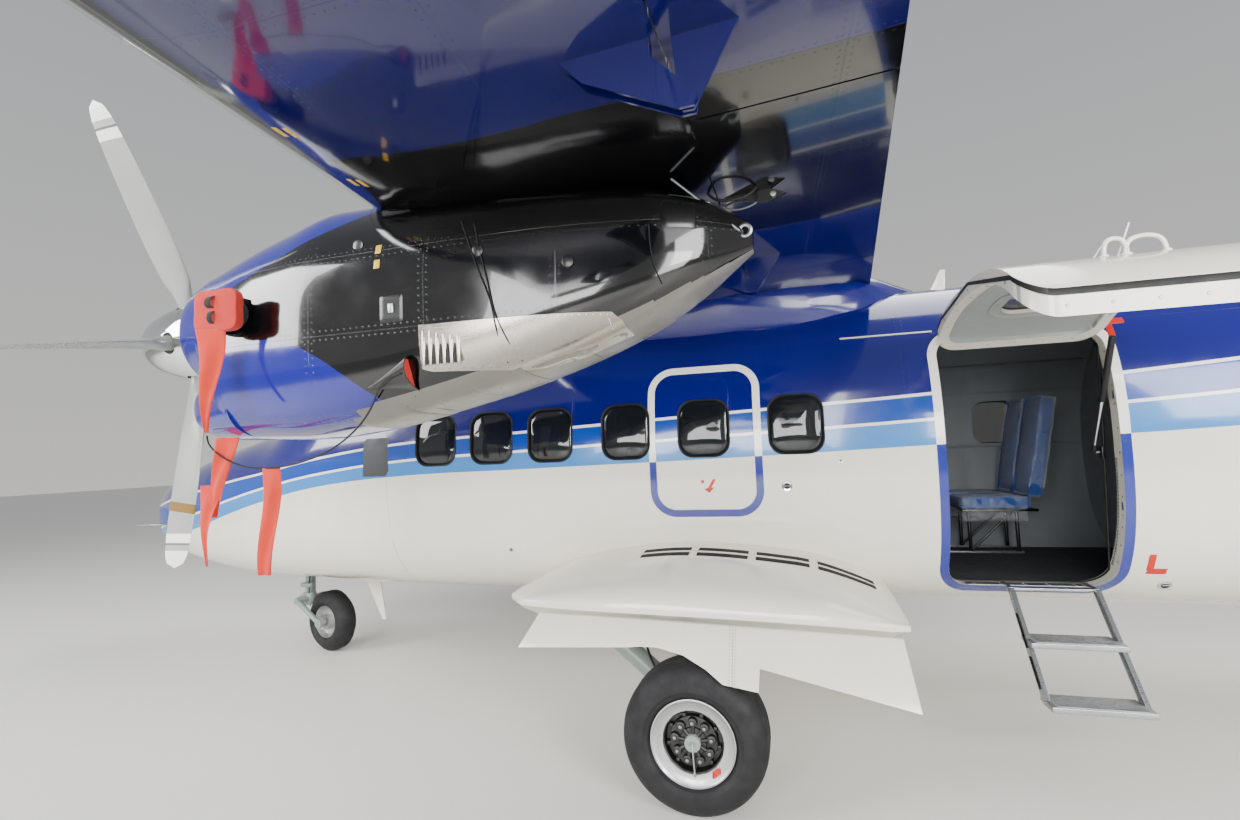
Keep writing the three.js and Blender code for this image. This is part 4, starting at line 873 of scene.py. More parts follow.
def leaf_ring(name, outline_at, section, material, angle=50, around=96):
    """A strip that follows an outline on the door: its section is (grow, depth) pairs."""
    def surface(u, v):
        grow, depth = section[round(u * len(section)) % len(section)]
        spot = round_outline(outline_at(grow), v)
        return on_leaf(spot.x, spot.z, depth)
    return ruled(name, len(section), around, surface, material, angle)


def screw(at, way, radius=0.007, material=None):
    at, way = Vector(at), Vector(way).normalized()
    return rod("screw", at - way * 0.002, at + way * 0.0022, radius, material or STEEL, 14, bevel=0.001)


# The leaf: first and last x, lowest and highest z; then its corner, its thickness and its rim round the liner
LEAF, LEAF_CORNER, LEAF_THICK, LEAF_RIM = (-0.094, 0.729, 0.878, 2.308), 0.114, 0.060, 0.052


def leaf_outline(grow):
    return rounded_outline(LEAF[0] - grow, LEAF[1] + grow, LEAF[2] - grow, LEAF[3] + grow,
                           max(0.02, LEAF_CORNER + grow), 0, 10)


def cushion(low, high, crown, material, cuts=7):
    """A stuffed cushion between two corners: rounded edges, its middle puffed on every side."""
    low, high = Vector(low), Vector(high)
    piece = block("cushion", low, high, material, 0)
    in_edit(piece, lambda: bpy.ops.mesh.subdivide(number_cuts=cuts))
    middle, half = (low + high) / 2, (high - low) / 2
    for vertex in piece.data.vertices:
        share = [(vertex.co[i] - middle[i]) / half[i] for i in range(3)]
        for i in range(3):
            j, k = (i + 1) % 3, (i + 2) % 3
            puff = (1 - abs(share[j]) ** 4) * (1 - abs(share[k]) ** 4)
            if abs(share[i]) > 0.98:
                vertex.co[i] -= copysign(crown * (1 - puff), share[i])
    settle(piece, 60)
    return put_material(piece, material)


CABIN_FLOOR, SEAT_LEAN = 0.862, 10.5


def leaned(back, x, z, degrees):
    """A seat's back, tipped aft about its foot and put at x and z."""
    back.data.transform(Matrix.Translation((x, 0, z)) @ Matrix.Rotation(radians(degrees), 4, "Y"))
    return back


def cabin_seat(x, y, width, wrapped):
    """One seat of the cabin: cushions on a metal frame, and its clear film cover where it wears one."""
    split = 2 if width > 0.5 else 1
    cloth, frame_bars, film = [], [], []
    for i in range(split):
        y0 = y - width / 2 + i * width / split + 0.006
        y1 = y0 + width / split - 0.012
        cloth.append(cushion((x - 0.235, y0, 1.205), (x + 0.235, y1, 1.305), 0.022, SEAT_CLOTH))
        back = cushion((-0.052, y0, 0.0), (0.052, y1, 0.745), 0.026, SEAT_CLOTH)
        cloth.append(leaned(back, x + 0.245, 1.283, SEAT_LEAN))
        if not wrapped:
            continue
        low, high = y0 - 0.004, y1 + 0.004
        covers = [cushion((x - 0.239, low, 1.110), (x + 0.205, high, 1.3095), 0.014, CLEAR_FILM, 9),
                  cushion((-0.060, low, 0.06), (0.060, high, 0.748), 0.018, CLEAR_FILM, 9)]
        leaned(covers[1], x + 0.245, 1.283, SEAT_LEAN)
        for cover in covers:
            for vertex in cover.data.vertices:
                px, py, pz = vertex.co
                vertex.co.x += 0.006 * sin(37 * pz + 9 * py) * sin(29 * py + 3)
                vertex.co.y += 0.005 * sin(31 * px + 23 * pz)
        film += covers
    spread = min(width / 3, 0.15) - 0.02
    for dx in (-0.13, 0.19):
        for side in (y - spread, y + spread):
            frame_bars.append(rod("leg", (x + dx, side, CABIN_FLOOR), (x + dx, side, 1.20), 0.013, BLACK_PAINT, 16,
                                  bevel=0.002))
    for side in (y - spread, y + spread):
        frame_bars.append(rod("brace", (x - 0.12, side, 0.885), (x + 0.18, side, 1.185), 0.009, BLACK_PAINT, 12,
                              bevel=0.001))
    edge = width / 2 - 0.01
    frame_bars.append(block("pan", (x - 0.23, y - edge, 1.192), (x + 0.26, y + edge, 1.208), BLACK_PAINT, 0.004))
    return cloth, frame_bars, film


def lining():
    """The far wall of the cabin: a ledge under the lockers, panel joints and a small switch plate."""
    def wall(x, z, out=0.0):
        return Vector((x, -body_side(x, z, WALL) - out, z))

    def panel(name, x0, x1, z0, z1, out, material):
        return ruled(name, 12, 12, lambda u, v: wall(
            x0 + (x1 - x0) * inner(u, 0.02), z0 + (z1 - z0) * inner(v, 0.03),
            out if off_rim(u, v) else -0.002), material, 40)
    pieces = []
    for x0 in [-3.7 + 0.84 * i for i in range(6)]:
        for z0, z1 in ((0.92, 1.62), (2.09, 2.30), (2.335, 2.58)):
            pieces.append(panel("panel", x0, min(x0 + 0.828, 1.33), z0, z1, 0.006, LINER))
    for z, out, radius in ((2.316, 0.016, 0.014), (1.655, 0.012, 0.010)):
        pieces.append(tube("ledge", [wall(x, z, out) for x in (-3.7, -2, -0.5, 1.33)], radius, LINER, 12))
    ridden(joined("cabin_side_panels", pieces))
    plate = [panel("plate", 0.02, 0.14, 2.235, 2.275, 0.016, BLACK_PAINT)]
    plate += [screw(wall(x, 2.255, 0.016), (0, -1, 0), 0.006) for x in (0.05, 0.11)]
    ridden(joined("cabin_switch_plate", plate))


def door():
    """The leaf with its recessed liner, seal, window, screws, hand loops, lock and strut."""
    def through(outline):
        return outline_solid("cut", outline, (0, 0.9, 0), LIVERY_PAINT)
    leaf = body_length("door_leaf", -0.3, 0.9, 12)
    carve(leaf, body_length("room", -0.32, 0.92, 12, LEAF_THICK))
    carve(leaf, through(rounded_outline(*LEAF, LEAF_CORNER, -1.3, 10)), "INTERSECT")
    x0, x1, z0, z1 = LEAF
    recess = body_length("recess", -0.32, 0.92, 12, 0.042)
    liner_edge = rounded_outline(x0 + LEAF_RIM, x1 - LEAF_RIM, z0 + LEAF_RIM, z1 - LEAF_RIM, 0.075, -1.2, 10)
    carve(recess, through(liner_edge), "INTERSECT")
    carve(leaf, recess)
    carve(leaf, through(window_outline(DOOR_MIDDLE[0], -1.3)))
    settle(leaf, 30)
    put_material(leaf, WHITE_PAINT)
    faces_take(leaf, JAMB_PAINT, lambda at, way: at.y > body_side(at.x, at.z, 0.036))
    faces_take(leaf, DOOR_LINER, lambda at, way: body_side(at.x, at.z, 0.052) > at.y > body_side(at.x, at.z, 0.036))
    swing_up(leaf)
    ridden(leaf, "entry_door", "entry_door", slot="white_skin")

    seal = leaf_ring("door_edge_seal", leaf_outline,
                     [(-0.010, 0.002), (0.0028, 0.001), (0.0028, 0.016), (-0.010, 0.018)], SEAL_RUBBER)

    def pane_outline(grow):
        return window_outline(DOOR_MIDDLE[0], 0, grow)
    bezel = leaf_ring("door_window_bezel", pane_outline,
                      [(-0.003, 0.018), (0.004, 0.016), (0.052, 0.038), (0.060, 0.046), (0.050, 0.049),
                       (0.034, 0.046), (0.004, 0.028)], DOOR_LINER, 40)
    bead = leaf_ring("door_pane_bead", pane_outline,
                     [(0.008, 0.002), (0.007, -0.003), (-0.002, -0.003), (-0.009, 0.004), (-0.009, 0.022),
                      (0.0, 0.022)], SEAL_RUBBER)
    for piece in (seal, bezel, bead):
        ridden(swing_up(piece), "entry_door")
    pane = ruled("door_pane", 24, 48, pane_point, WINDOW_GLASS, 40)
    ridden(swing_up(pane), "entry_door", "door_window", slot="glass")

    screws = []
    for z in (1.05, 1.30, 1.55, 1.80, 2.03, 2.19):
        for x, way in ((LEAF[0], -1), (LEAF[1], 1)):
            screws.append(screw(on_leaf(x, z, 0.038), (way, 0, 0)))
            screws.append(screw(on_leaf(x - way * 0.026, z + 0.06, 0.060), (0, 1, 0), 0.006))
    for x in (0.04, 0.18, 0.3175, 0.455, 0.60):
        screws.append(screw(on_leaf(x, LEAF[2], 0.040), (0, 0, -1)))
        for z in (LEAF[2] + 0.026, LEAF[3] - 0.026):
            screws.append(screw(on_leaf(x, z, 0.060), (0, 1, 0.2), 0.006))
    ridden(swing_up(joined("door_screws", screws)), "entry_door")

    loops = []
    for x, half in ((0.348, 0.040), (0.450, 0.068)):
        y, z = body_side(x, 1.20), 1.20
        loops.append(tube("handle",
                          [(x - half, y + 0.01, z), (x - half, y - 0.045, z), (x - half * 0.55, y - 0.072, z),
                           (x + half * 0.55, y - 0.072, z), (x + half, y - 0.045, z), (x + half, y + 0.01, z)], 0.009,
                          WHITE_PAINT))
        loops += [rod("foot", (x + way * half, y + 0.004, z), (x + way * half, y - 0.004, z), 0.017, WHITE_PAINT, 20,
                      bevel=0.0015) for way in (-1, 1)]
    y = body_side(0.372, 1.24)
    loops.append(rod("lever", (0.372, y + 0.004, 1.24), (0.405, y - 0.118, 1.20), 0.004, WHITE_PAINT, 12,
                     bevel=0.001))
    ridden(swing_up(joined("door_hand_loops", loops)), "entry_door")
    y, bar_y = on_leaf(0.46, 0.965, 0.055).y, on_leaf(0.3, 1.02, 0.056).y
    lock = [block("lock", (0.440, y, 0.935), (0.502, y + 0.070, 0.995), BLACK_PAINT, 0.008),
            rod("bar", (0.10, bar_y, 1.02), (0.44, bar_y, 1.02), 0.007, STEEL, 12, bevel=0.001)]
    ridden(swing_up(joined("door_inner_lock", lock)), "entry_door")

    tube_start, tube_end = Vector((0.69, -1.158, 2.238)), Vector((0.69, -0.835, 1.620))
    line = tube_end - tube_start
    at = [tube_start + line * t for t in (0.0, 0.02, 0.552, 0.48, 0.985)]
    barrel = rod("strut_barrel", at[1], at[2], 0.016, SEAL_RUBBER, 24, bevel=0.003)
    carve(barrel, rod("bore", tube_start + line * 0.075, tube_start + line * 0.6, 0.0096, SEAL_RUBBER, 24))
    settle(barrel, 40)
    ridden(barrel, "door_strut_tube", "door_strut_tube", slot="strut_black")
    ridden(rod("strut_piston", at[3], at[4], 0.008, CHROME, 24, bevel=0.001), "door_strut_rod", "door_strut_rod",
           slot="gear_steel")
    ridden(rod("strut_eye", tube_start + line * 0.935, tube_start + line * 0.992, 0.0125, SEAL_RUBBER, 20,
               bevel=0.002), "door_strut_rod")


def pane_point(u, v):
    share = 1 - abs(1 - 2 * u)
    edge = round_outline(window_outline(DOOR_MIDDLE[0], 0, -0.002), v)
    reach, middle = share * 0.985, DOOR_MIDDLE[0]
    x, z = middle + (edge.x - middle) * reach, WINDOW_Z + (edge.z - WINDOW_Z) * reach
    return Vector((x, body_side(x, z) + (0.012 if u < 0.5 else 0.020), z))


def doorway():
    """The jamb's seal, sill plate, perforated strip, strikers, drip rail and the strut's bracket."""
    def follow(outline, depth):
        return [(p.x, body_side(p.x, p.z, depth), p.z) for p in outline]
    seal = tube("doorway_seal", follow(rounded_outline(-0.098, 0.733, 0.862, 2.318, 0.118, 0, 10), 0.066), 0.006,
                SEAL_RUBBER, closed=True)
    ridden(seal)
    sill_y = body_side(0.3, 0.862)
    sill = [block("plate", (0.02, sill_y + 0.004, 0.8602), (0.615, sill_y + 0.075, 0.8655), ALUMINIUM, 0.002)]
    sill += [screw((x, sill_y + dy, 0.8655), (0, 0, 1), 0.006) for x in (0.06, 0.20, 0.32, 0.44, 0.575)
             for dy in (0.02, 0.06)]
    ridden(joined("door_sill_plate", sill))

    rear = DOOR_X[1]
    strip = ruled("perforated_strip", 4, 24, lambda u, v: on_leaf(
        rear - (0.0035 if off_rim(u, v) else -0.001), 0.985 + 0.615 * v, 0.047 + 0.026 * u), DOOR_LINER, 40)
    # The strip's holes are black discs: painted shade of the openings.
    holes = [rod("hole", on_leaf(rear - 0.0046, 1.0 + i * 0.0195, 0.060),
                 on_leaf(rear - 0.003, 1.0 + i * 0.0195, 0.060), 0.0042, SEAL_RUBBER, 10) for i in range(31)]
    strikers = [block("striker", (rear - 0.0016, body_side(rear, z, 0.014), z - 0.022),
                      (rear + 0.001, body_side(rear, z, 0.036), z + 0.022), ALUMINIUM, 0.002) for z in (1.335, 1.93)]
    strikers += [screw(on_leaf(rear + 0.0005, z, 0.025), (-1, 0, 0), 0.006)
                 for z in (1.02, 1.12, 1.22, 1.285, 1.385, 1.50, 1.62, 1.75, 1.88, 1.98, 2.08, 2.17)]
    strikers += [screw(on_leaf(DOOR_X[0] - 0.0005, z, 0.03), (1, 0, 0), 0.006)
                 for z in (1.02, 1.22, 1.42, 1.62, 1.82, 2.02, 2.17)]
    strikers += [screw(on_leaf(x, 2.3205, 0.04), (0, 0, -1), 0.006) for x in (0.05, 0.19, 0.32, 0.45, 0.585)]
    ridden(strip)
    ridden(joined("strip_holes", holes))
    ridden(joined("door_strikers", strikers))
    drip = ruled("drip_rail", 6, 60, lambda u, v: Vector((
        -0.62 + 0.525 * v, body_side(-0.62 + 0.525 * v, 2.366 + 0.012 * u) + (-0.006 if off_rim(u, v) else 0.002),
        2.366 + 0.012 * u)), WHITE_PAINT, 40)
    ridden(drip)
    bracket = [block("foot", (0.716, -0.868, 1.585), (0.7345, -0.812, 1.655), BLACK_PAINT, 0.003),
               rod("pin", (0.7345, -0.835, 1.620), (0.700, -0.835, 1.620), 0.007, STEEL, 16, bevel=0.001)]
    ridden(joined("strut_post_bracket", bracket))


STEPS_TOP, STEPS_FOOT = Vector((0, -0.800, 0.866)), Vector((0, -1.240, 0.375))


def steps():
    """A folding two-tread ladder of welded aluminium channel, hooked on the sill."""
    slope = (STEPS_FOOT.y - STEPS_TOP.y) / (STEPS_FOOT.z - STEPS_TOP.z)

    def at_z(z):
        return STEPS_TOP.y + (z - STEPS_TOP.z) * slope
    pieces = []
    for x in (0.210, 0.628):
        outline = [Vector((x, y, z)) for y, z in ((at_z(0.866) - 0.008, 0.866), (at_z(0.866) - 0.078, 0.866),
                                                  (-1.310, 0.375), (-1.240, 0.375))]
        rail = outline_solid("rail", outline, (0.022, 0, 0), ALUMINIUM)
        web = x + 0.012 if x < 0.4 else x - 0.002
        slot = [Vector((web, y, z)) for y, z in ((at_z(0.85) - 0.020, 0.850), (at_z(0.85) - 0.066, 0.850),
                                                    (at_z(0.39) - 0.066, 0.390), (at_z(0.39) - 0.020, 0.390))]
        carve(rail, outline_solid("channel", slot, (0.012, 0, 0), ALUMINIUM))
        modify(rail, "BEVEL", width=0.0025, segments=2, limit_method="ANGLE")
        settle(rail, 30)
        pieces.append(rail)
    for z in (0.650, 0.410):
        y = at_z(z)
        pieces.append(block("tread", (0.212, y - 0.150, z - 0.034), (0.648, y + 0.010, z - 0.006), ALUMINIUM, 0.004))
        for i in range(9):
            rib = y - 0.142 + i * 0.018
            pieces.append(block("rib", (0.236, rib, z - 0.008), (0.624, rib + 0.007, z - 0.001), ALUMINIUM, 0.001, 1))
    pieces.append(block("bar", (0.212, -0.860, 0.850), (0.648, -0.822, 0.8655), ALUMINIUM, 0.003))
    for x in (0.211, 0.627):
        pieces.append(block("hook", (x, -0.860, 0.8655), (x + 0.022, -0.702, 0.8685), ALUMINIUM, 0.001))
        pieces.append(rod("hook_pin", (x - 0.004, -0.812, 0.848), (x + 0.026, -0.812, 0.848), 0.010, STEEL, 16,
                          bevel=0.001))
    for x in (0.206, 0.652):
        for z in (0.63, 0.39, 0.80):
            y = at_z(z) - 0.04
            pieces.append(rod("bolt", (x - 0.004, y, z), (x + 0.006, y, z), 0.008, STEEL, 12, bevel=0.001))
    for z0, z1 in ((0.60, 0.745), (0.44, 0.565)):
        y0, y1 = at_z(z0) - 0.046, at_z(z1) - 0.046
        pieces.append(rod("stay", (0.207, y0, z0), (0.207, y1, z1), 0.006, BLACK_PAINT, 12, bevel=0.001))
    ridden(joined("boarding_ladder", pieces), AIRFRAME, "boarding_steps", slot="bare_aluminium")


def wings():
    for side_name, _ in SIDES:
        dressed(side_name + "_wing_skin", side_name + "_wing", WING_PAINT, slot="navy_skin")
        dressed(side_name + "_flap_skin", side_name + "_flap", WING_PAINT, side_name + "_flap", "navy_skin")
        dressed(side_name + "_aileron_skin", side_name + "_aileron", WING_PAINT, side_name + "_aileron")
        dressed(side_name + "_tip_tank_skin", side_name + "_tip_tank", WHITE_PAINT, slot="white_skin", angle=50)
    dressed("wing_saddle", "wing_fairing", NIGHT_PAINT, slot="navy_skin", angle=40)


# Nacelle sections: x, half width, bottom z, top z
NACELLE_SECTIONS = [
    (-3.600, 0.278, 2.120, 2.690), (-3.420, 0.335, 1.850, 2.755), (-3.120, 0.370, 1.840, 2.840),
    (-2.860, 0.385, 1.860, 2.900), (-2.360, 0.385, 1.950, 2.880), (-1.860, 0.370, 2.080, 2.850),
    (-1.460, 0.305, 2.230, 2.800), (-1.260, 0.228, 2.345, 2.740), (-1.040, 0.050, 2.500, 2.610),
]
PROP = Vector((-3.870, -2.410, 2.380))
COWL_UP_POWER = 2.3
# The round lip behind the propeller and the flat intake under it: radius or half sizes, and height
LIP_RADIUS, LIP_Z = 0.214, 2.386
MOUTH_HALF, MOUTH_Z = (0.135, 0.052), 2.026

COWL_SECTIONS = [
    (-3.745, 0.236, 2.150, 2.622), (-3.720, 0.254, 2.130, 2.644), (-3.580, 0.290, 2.095, 2.700),
    (-3.360, 0.330, 2.040, 2.760),
]

CHIN_SECTIONS = [
    (-3.765, 0.062, 1.985, 2.072), (-3.752, 0.132, 1.932, 2.118), (-3.705, 0.190, 1.882, 2.146),
    (-3.590, 0.238, 1.855, 2.160), (-3.380, 0.300, 1.848, 2.200),
]


def cowl_power(x, outboard):
    """How square the cowl's lower corner is: sharp on the outboard side, rounder inboard."""
    return 3.0 + (1.3 if outboard else -0.5) * min(1, max(0, (x + 3.3) / 0.8))


def cowl_loft(name, sections, stations, around, powers=None):
    first, last = sections[0][0], sections[-1][0]

    def surface(u, v):
        along = round(u * (stations + 2)) - 1
        x = first + (last - first) * min(max(along, 0), stations) / stations
        half_width, bottom, top = along_table(sections, x, (1, 2, 3))
        if along < 0 or along > stations:
            return Vector((x, PROP.y, (bottom + top) / 2))
        turn = v * tau
        up, low = powers or (COWL_UP_POWER, cowl_power(x, cos(turn) < 0))
        return ring_point(x, half_width, bottom, top, turn, PROP.y, up, low)
    return ruled(name, stations + 2, around, surface, COWL_PAINT, 30)


def cowl_side(x, z, out=0.0):
    """The outboard side of the port nacelle at x and z, and a little out from it."""
    half_width, bottom, top = along_table(NACELLE_SECTIONS, x, (1, 2, 3))
    middle, half = (bottom + top) / 2, (top - bottom) / 2
    share = min(0.9995, abs(z - middle) / half)
    power = COWL_UP_POWER if z > middle else cowl_power(x, True)
    return PROP.y - half_width * (1 - share ** power) ** (1 / power) - out


def cowl_under(x, y, out=0.0):
    """The nacelle's underside at x and y."""
    half_width, bottom, top = along_table(NACELLE_SECTIONS, x, (1, 2, 3))
    share = min(0.9995, abs(y - PROP.y) / half_width)
    power = cowl_power(x, y < PROP.y)
    return (bottom + top) / 2 - (top - bottom) / 2 * (1 - share ** power) ** (1 / power) - out


def faces_take(piece, material, test):
    """The faces that pass a test take another material."""
    piece.data.materials.append(material)
    last = len(piece.data.materials) - 1
    for face in piece.data.polygons:
        if test(face.center, face.normal):
            face.material_index = last
    return piece


def patch(name, across, along, spot, material, proud=0.003, sunk=0.004, angle=40):
    """A thin plate that follows the cowl's side: spot(u, v) gives its x and z."""
    def surface(u, v):
        x, z = spot(inner(u, 0.02), inner(v, 0.04))
        edge = min(u, v, 1 - u, 1 - v) < 0.001
        return Vector((x, cowl_side(x, z, -sunk if edge else proud), z))
    return ruled(name, across, along, surface, material, angle)


def rivet_line(start, end, count, out=0.002, radius=0.0045, material=None):
    """Dome heads along a line on the cowl's side, given by x and z."""
    heads = []
    for i in range(count):
        t = i / (count - 1)
        x, z = start[0] + (end[0] - start[0]) * t, start[1] + (end[1] - start[1]) * t
        y = cowl_side(x, z, out)
        heads.append(rod("head", (x, y + 0.003, z), (x, y - 0.002, z), radius, material or HEAT_SHIELD, 6,
                         radius * 0.45))
    return heads


def heat_shield():
    """The riveted stainless sheet on the cowl's side, with five louvred slots at its front."""
    foot = [(-2.321, 2.078), (-2.275, 2.066), (-1.975, 2.062), (-1.750, 2.115), (-1.527, 2.195)]

    def bottom_at(x):
        return along_table(foot, x, (1,))[0]

    def spot(u, v):
        x = -2.321 + 0.794 * u - (0.028 * u * (v - 0.5) * 2 if v > 0.5 else 0)
        top = 2.253 - 0.004 * u
        return x, bottom_at(x) + (top - bottom_at(x)) * v
    pieces = [patch("shield", 60, 20, spot, HEAT_SHIELD)]
    pieces += rivet_line((-2.30, 2.243), (-1.57, 2.240), 30)
    pieces += rivet_line((-2.27, 2.078), (-1.99, 2.074), 10)
    for x in (-2.125, -2.075, -1.92, -1.57):
        pieces += rivet_line((x, bottom_at(x) + 0.02), (x, 2.225), 7)
    slots = []
    for i in range(6):
        x = -2.303 + i * 0.030
        y = cowl_side(x, 2.155, 0.002)
        pieces.append(rod("louvre", (x, y, 2.088), (x, y, 2.232), 0.0085, HEAT_SHIELD, 16, bevel=0.006))
        # The slots between the louvres are black blocks: painted shade of the openings.
        if i < 5:
            slots.append(block("slot", (x + 0.010, y - 0.003, 2.094), (x + 0.020, y + 0.008, 2.226), SEAL_RUBBER,
                               0.003))
    return joined("port_heat_shield", pieces), joined("port_louvre_slots", slots)


def scoop():
    """The black outlet on the cowl's side that opens aft, with a red plug in its mouth."""
    def shell(u, v):
        x, grow = -2.590 + 0.225 * u, u ** 1.25
        middle, half, depth = 2.018 + 0.052 * u, 0.006 + 0.062 * grow, 0.003 + 0.062 * grow
        a = pi * (v - 0.5)
        z = middle + half * sin(a)
        return Vector((x, cowl_side(x, z, depth * cos(a) - 0.003), z))
    hood = ruled("hood", 26, 24, shell, BLACK_PAINT, 45)
    modify(hood, "SOLIDIFY", thickness=0.003, offset=-1)
    settle(hood, 45)

    def plug_point(u, v):
        a, reach = pi * (v - 0.5), u * 0.92
        z = 2.066 + 0.062 * reach * sin(a)
        return Vector((-2.385 + 0.006 * (1 - u), cowl_side(-2.385, z, 0.058 * reach * cos(a) - 0.003), z))
    plug = ruled("plug", 8, 24, plug_point, COVER_CLOTH, 45)
    modify(plug, "SOLIDIFY", thickness=0.012, offset=0)
    return hood, settle(plug, 45)


def cowl_hatches():
    """Screwed hatches on the cowl's side and its flat underside, with their dark gaps."""
    def plate(title, x0, x1, z0, z1, material, proud):
        def spot(u, v):
            return x0 + (x1 - x0) * u, z0 + (z1 - z0) * v
        return patch(title, 8, 8, spot, material, proud, 0.003)

    def side_plate(x0, x1, z0, z1):
        return [plate("gap", x0 - 0.003, x1 + 0.003, z0 - 0.003, z1 + 0.003, SEAL_RUBBER, 0.0008),
                plate("hatch", x0, x1, z0, z1, BLACK_PAINT, 0.0022)]
    pieces = side_plate(-2.505, -2.385, 2.270, 2.390) + side_plate(-1.365, -1.235, 2.545, 2.665)
    y = cowl_side(-2.44, 2.33, 0.004)
    pieces.append(block("vent", (-2.456, y - 0.003, 2.312), (-2.432, y + 0.004, 2.350), ALUMINIUM, 0.002))
    for z0, z1 in ((2.50, 2.545), (2.565, 2.61)):
        pieces.append(patch("mark", 4, 6, lambda u, v: (-2.535 + 0.038 * u, z0 + (z1 - z0) * v), YELLOW_PAINT, 0.001,
                            0.002))
    for x, z in ((-2.06, 2.52), (-1.70, 2.44), (-2.62, 2.62)):
        y = cowl_side(x, z, 0.002)
        pieces.append(turned("port", [(0, -0.002), (0.020, -0.002), (0.024, 0.001), (0.018, 0.003), (0, 0.003)],
                             (x, y, z), (0, -1, 0), BLACK_PAINT, 24))
    for x0, x1 in ((-2.74, -2.46), (-2.18, -1.94)):
        for grow, drop, paint in ((0.004, 0.0006, SEAL_RUBBER), (0, 0.0025, GREY_PRIMER)):
            def under(u, v):
                x = x0 - grow + (x1 - x0 + 2 * grow) * inner(u, 0.05)
                y = PROP.y - 0.03 + (0.24 + grow) * (2 * inner(v, 0.05) - 1)
                edge = min(u, v, 1 - u, 1 - v) < 0.001
                return Vector((x, y, cowl_under(x, y, -0.004 if edge else drop)))
            pieces.append(ruled("plate", 12, 12, under, paint, 40))
    for x in (-3.02, -2.40, -1.70):
        line = [Vector((x, PROP.y + s * 0.30, cowl_under(x, PROP.y + s * 0.30, 0.0002))) for s in
                (-1, -0.8, -0.6, -0.3, 0, 0.3, 0.6, 0.8)]
        pieces.append(tube("panel_line", line, 0.0016, SEAL_RUBBER, 8))
    return joined("hatches", pieces)


def pad(name, centre, half_x, half_z, depth, material, crown=0.012, corner=5.0, around=72):
    """A crowned, piped block of padding whose face looks to port; its sides pull in between the corners."""
    profile = [(0.0, 0.0), (0.55, 0.0), (0.88, 0.0), (0.965, 0.003), (0.995, 0.012), (1.0, 0.5 * (depth - crown)),
               (0.992, depth - crown - 0.006), (1.008, depth - crown - 0.002), (1.008, depth - crown + 0.002),
               (0.985, depth - crown + 0.004), (0.93, depth - 0.55 * crown), (0.80, depth - 0.25 * crown),
               (0.55, depth - 0.06 * crown), (0.0, depth)]

    def surface(u, v):
        share, out = profile[round(u * (len(profile) - 1))]
        a = v * tau
        c, s = cos(a), sin(a)
        reach = (abs(c) ** corner + abs(s) ** corner) ** (-1 / corner)
        reach *= 1 - 0.035 * (1 - abs(sin(2 * a)))
        return Vector((centre[0] + half_x * share * reach * c, centre[1] - out,
                       centre[2] + half_z * share * reach * s))
    piece = ruled(name, len(profile) - 1, around, surface, material, 60)
    return modify(piece, "SUBSURF", levels=1, render_levels=1)


def smooth_route(points, at):
    """The place at a number along a smooth route through points, and the points it runs between."""
    i = min(int(at), len(points) - 2)
    t = at - i
    p = [Vector(points[max(0, min(len(points) - 1, i + k))]) for k in (-1, 0, 1, 2)]
    here = 0.5 * (2 * p[1] + (p[2] - p[0]) * t + (2 * p[0] - 5 * p[1] + 4 * p[2] - p[3]) * t * t
                  + (3 * p[1] - p[0] - 3 * p[2] + p[3]) * t ** 3)
    return here, p[1], p[2]


def capped(piece):
    """Its open ends get a face each."""
    return in_edit(piece, lambda: (bpy.ops.mesh.select_all(action="DESELECT"), bpy.ops.mesh.select_non_manifold(),
                                   bpy.ops.mesh.edge_face_add()))


def strap(name, points, width, thick, across, material):
    """A flat strap along points; across is the way its width runs."""
    side = Vector(across).normalized()

    def surface(u, v):
        here, last, following = smooth_route(points, u * (len(points) - 1))
        way = (following - last).normalized()
        out = side.cross(way).normalized()
        a = v * tau
        c, s = cos(a), sin(a)
        return here + side * copysign(width / 2 * abs(c) ** 0.4,
                                           c) + out * copysign(thick / 2 * abs(s) ** 0.4, s)
    return settle(capped(ruled(name, (len(points) - 1) * 6, 16, surface, material, 60)), 60)


def ribbon(name, start, end, widths, side, ripple=0.006, turns=0.35, seed=0.0):
    """A hanging ribbon of thin cloth: widths at its top and foot, with soft creases and a slow twist."""
    start, end, side = Vector(start), Vector(end), Vector(side).normalized()
    drop = (end - start).normalized()
    face = side.cross(drop).normalized()

    def surface(u, v):
        width = widths[0] + (widths[1] - widths[0]) * u
        twist = turns * sin(u * 2.6 + seed)
        s = (v - 0.5) * width
        fold = ripple * sin(v * 7 + u * 5 + seed * 3) * min(1, 4 * u)
        way = side * cos(twist) + face * sin(twist)
        sway = face * ripple * 2.2 * sin(u * 5 + seed)
        return start + (end - start) * u + way * s + face * fold + sway
    piece = ruled(name, 40, 10, surface, STREAMER_CLOTH, 80)
    area = sum(face.area for face in piece.data.polygons)
    length = (end - start).length
    modify(piece, "SOLIDIFY", thickness=0.0012, offset=0)
    return piece, area, length


